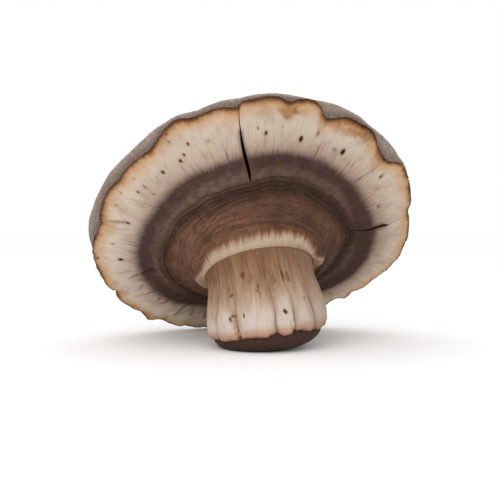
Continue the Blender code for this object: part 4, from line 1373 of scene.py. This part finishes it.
def grow_fibres(name, strip_points, cover, tree, values):
    """Runs the fibre tree on a strip and returns the fibres as one plain mesh object."""
    made = strip_object(name, strip_points, cover)
    modifier = made.modifiers.new("fibres", "NODES")
    modifier.node_group = tree
    for item in tree.interface.items_tree:
        if item.item_type == "SOCKET" and item.in_out == "INPUT" and item.name in values:
            modifier[item.identifier] = values[item.name]
    bpy.context.view_layer.update()
    finished = made.evaluated_get(bpy.context.evaluated_depsgraph_get())
    mesh = bpy.data.meshes.new_from_object(finished)
    made.modifiers.clear()
    made.data = mesh
    mesh.shade_smooth()
    print(name, "has", sum(len(face.vertices) - 2 for face in mesh.polygons), "triangles")
    return made


fibres_made = fibre_tree("scattered fibres")
print(fibres_made.name, "has", len(fibres_made.nodes), "nodes")


# %% [markdown]
# The collar's fibres are pale with brown tips, and stand a little off the disc. Those on the crown are flat
# and hardly darker than the skin. Both read the tint and the place along the fibre that the tree stored.

# %% Fibre materials and meshes
def fibre_material(name, root, tip, dark):
    """Torn mushroom fibre: matte, from its root's colour to its tip's, some darker than others."""
    material, tree, shader = new_material(name, 0.85, 0.2)
    along = add(tree, ATTRIBUTE, out="Fac", attribute_name="along")
    tint = add(tree, ATTRIBUTE, out="Fac", attribute_name="tint")
    tone = add(tree, LAYER, root, add(tree, SOFT, tint, 0.2, 1.0), dark)
    tone = add(tree, LAYER, tone, add(tree, SOFT, along, 0.2, 0.9), tip)
    tree.links.new(tone, shader.inputs["Base Color"])
    return material


COLLAR_ROWS = slice(4, 9)                              # rows of the cap's grid from which torn fibres grow
COLLAR_COVER = np.array((0.3, 0.7, 1.0, 1.0, 0.8))     # share of the density at each row of the collar
CROWN_ROWS = slice(-2, -22, -1)                        # from beside the crown down
BARE_FROM, FULL_TO = 19.0, 9.0                         # rows down from the crown, thinning in between
collar_fibre = fibre_material("collar fibre, torn", "#b5a38f", "#7c583f", "#9a816b")
crown_fibre = fibre_material("crown fibre, flat and dry", "#75645a", "#807065", "#6b5a50")
collar_strip = points[:, COLLAR_ROWS]
collar = grow_fibres("collar_fibres", collar_strip, COLLAR_COVER, fibres_made,
                     {"Length": 0.0008, "Width": 0.00006, "Lift": -0.10, "Per square metre": 7.0e6, "Seed": 5,
                      "Material": collar_fibre})
crown_strip = points[:, CROWN_ROWS]
crown_cover = smooth(np.arange(crown_strip.shape[1]), BARE_FROM, FULL_TO)
crown_fibres = grow_fibres("crown_fibres", crown_strip, crown_cover, fibres_made,
                           {"Length": 0.0026, "Width": 0.00010, "Lift": -0.04, "Per square metre": 6.0e5,
                            "Seed": 6, "Material": crown_fibre})


# %% [markdown]
# ## Stage, light and camera
#
# The photograph has a plain white ground, soft light from the front and above, and a long lens just above the
# height of the cap's middle. A wide pale disc stands for the table. The world lights everything evenly, and
# two large soft lamps beside the camera give the toes and the wavy rim their shape.

# %% Stage
def paper_material():
    """Matte white paper under the mushroom."""
    material, tree, shader = new_material("white paper, uncoated", 0.9, 0.1)
    place = add(tree, "ShaderNodeTexCoord", out="Object")
    fibre = add(tree, NOISE, {"Vector": place, "Scale": 400.0, "Detail": 2.0})
    tone = add(tree, LAYER, "#fbfbfa", fibre, "#ffffff")
    tree.links.new(tone, shader.inputs["Base Color"])
    return material


FLOOR_RADIUS = 3.0           # m, so that its edge is out of sight
floor_mesh = bpy.data.meshes.new("floor")
floor_turns = [math.radians(degrees) for degrees in range(0, 360, 5)]
floor_edge = [(FLOOR_RADIUS * math.cos(turn), FLOOR_RADIUS * math.sin(turn), 0.0) for turn in floor_turns]
floor_mesh.from_pydata(floor_edge, [], [list(range(len(floor_edge)))])
floor_mesh.materials.append(paper_material())
floor = linked_object("floor", floor_mesh)

world = bpy.data.worlds.new("soft white room")
world.use_nodes = True
world.node_tree.nodes["Background"].inputs["Color"].default_value = (1.0, 1.0, 1.0, 1.0)
world.node_tree.nodes["Background"].inputs["Strength"].default_value = 1.0
bpy.context.scene.world = world

LAMP_SIZE = 0.5              # m, side of each square lamp
LAMP_TARGET = (0.0, 0.0, 0.04)
LAMPS = (("key lamp", (-0.25, -0.60, 0.40), 1.5), ("fill lamp", (0.45, -0.55, 0.25), 0.5))


def soft_lamp(name, place, watts):
    """Square area lamp at a place in metres, turned to the mushroom's middle."""
    data = bpy.data.lights.new(name, "AREA")
    data.size = LAMP_SIZE
    data.energy = watts
    lamp = linked_object(name, data)
    lamp.location = place
    aim = np.array(LAMP_TARGET) - np.array(place)
    flat = math.hypot(aim[0], aim[1])
    lamp.rotation_euler = (math.atan2(flat, -aim[2]), 0.0, math.atan2(-aim[0], aim[1]))


for lamp_name, lamp_place, lamp_watts in LAMPS:
    soft_lamp(lamp_name, lamp_place, lamp_watts)
print("floor", 2 * FLOOR_RADIUS, "m across, with", len(LAMPS), "lamps")


# %% [markdown]
# The camera's place, tilt and lens come from fitting the rings and the outline to the photograph. The
# Standard view leaves the colours as they are worked out, so that white paper stays white.

# %% Camera
CAMERA_PLACE = (-0.0031, -0.3190, 0.0426)              # m
CAMERA_DOWN = 1.5            # degrees that it looks down
CAMERA_LENS = 65.7           # mm, on a square picture 36 mm wide
camera_data = bpy.data.cameras.new("camera")
camera_data.lens = CAMERA_LENS
camera_data.sensor_width = 36.0
camera_data.clip_start = 0.01
camera = linked_object("camera", camera_data)
camera.location = CAMERA_PLACE
camera.rotation_euler = (math.radians(90.0 - CAMERA_DOWN), 0.0, 0.0)
bpy.context.scene.camera = camera
bpy.context.scene.view_settings.view_transform = "Standard"
print("camera", camera.location[:], "lens", CAMERA_LENS)


# %% [markdown]
# ## Joining the frame
#
# Nothing on a mushroom moves, so every piece rides on the one body. Cap and stem replace their solids.

# %% Riding and replacing
for piece, name in ((cap, "cap"), (stem, "stem"), (collar, "cap"), (crown_fibres, "cap")):
    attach(piece, "root")
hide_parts("cap")
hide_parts("stem")
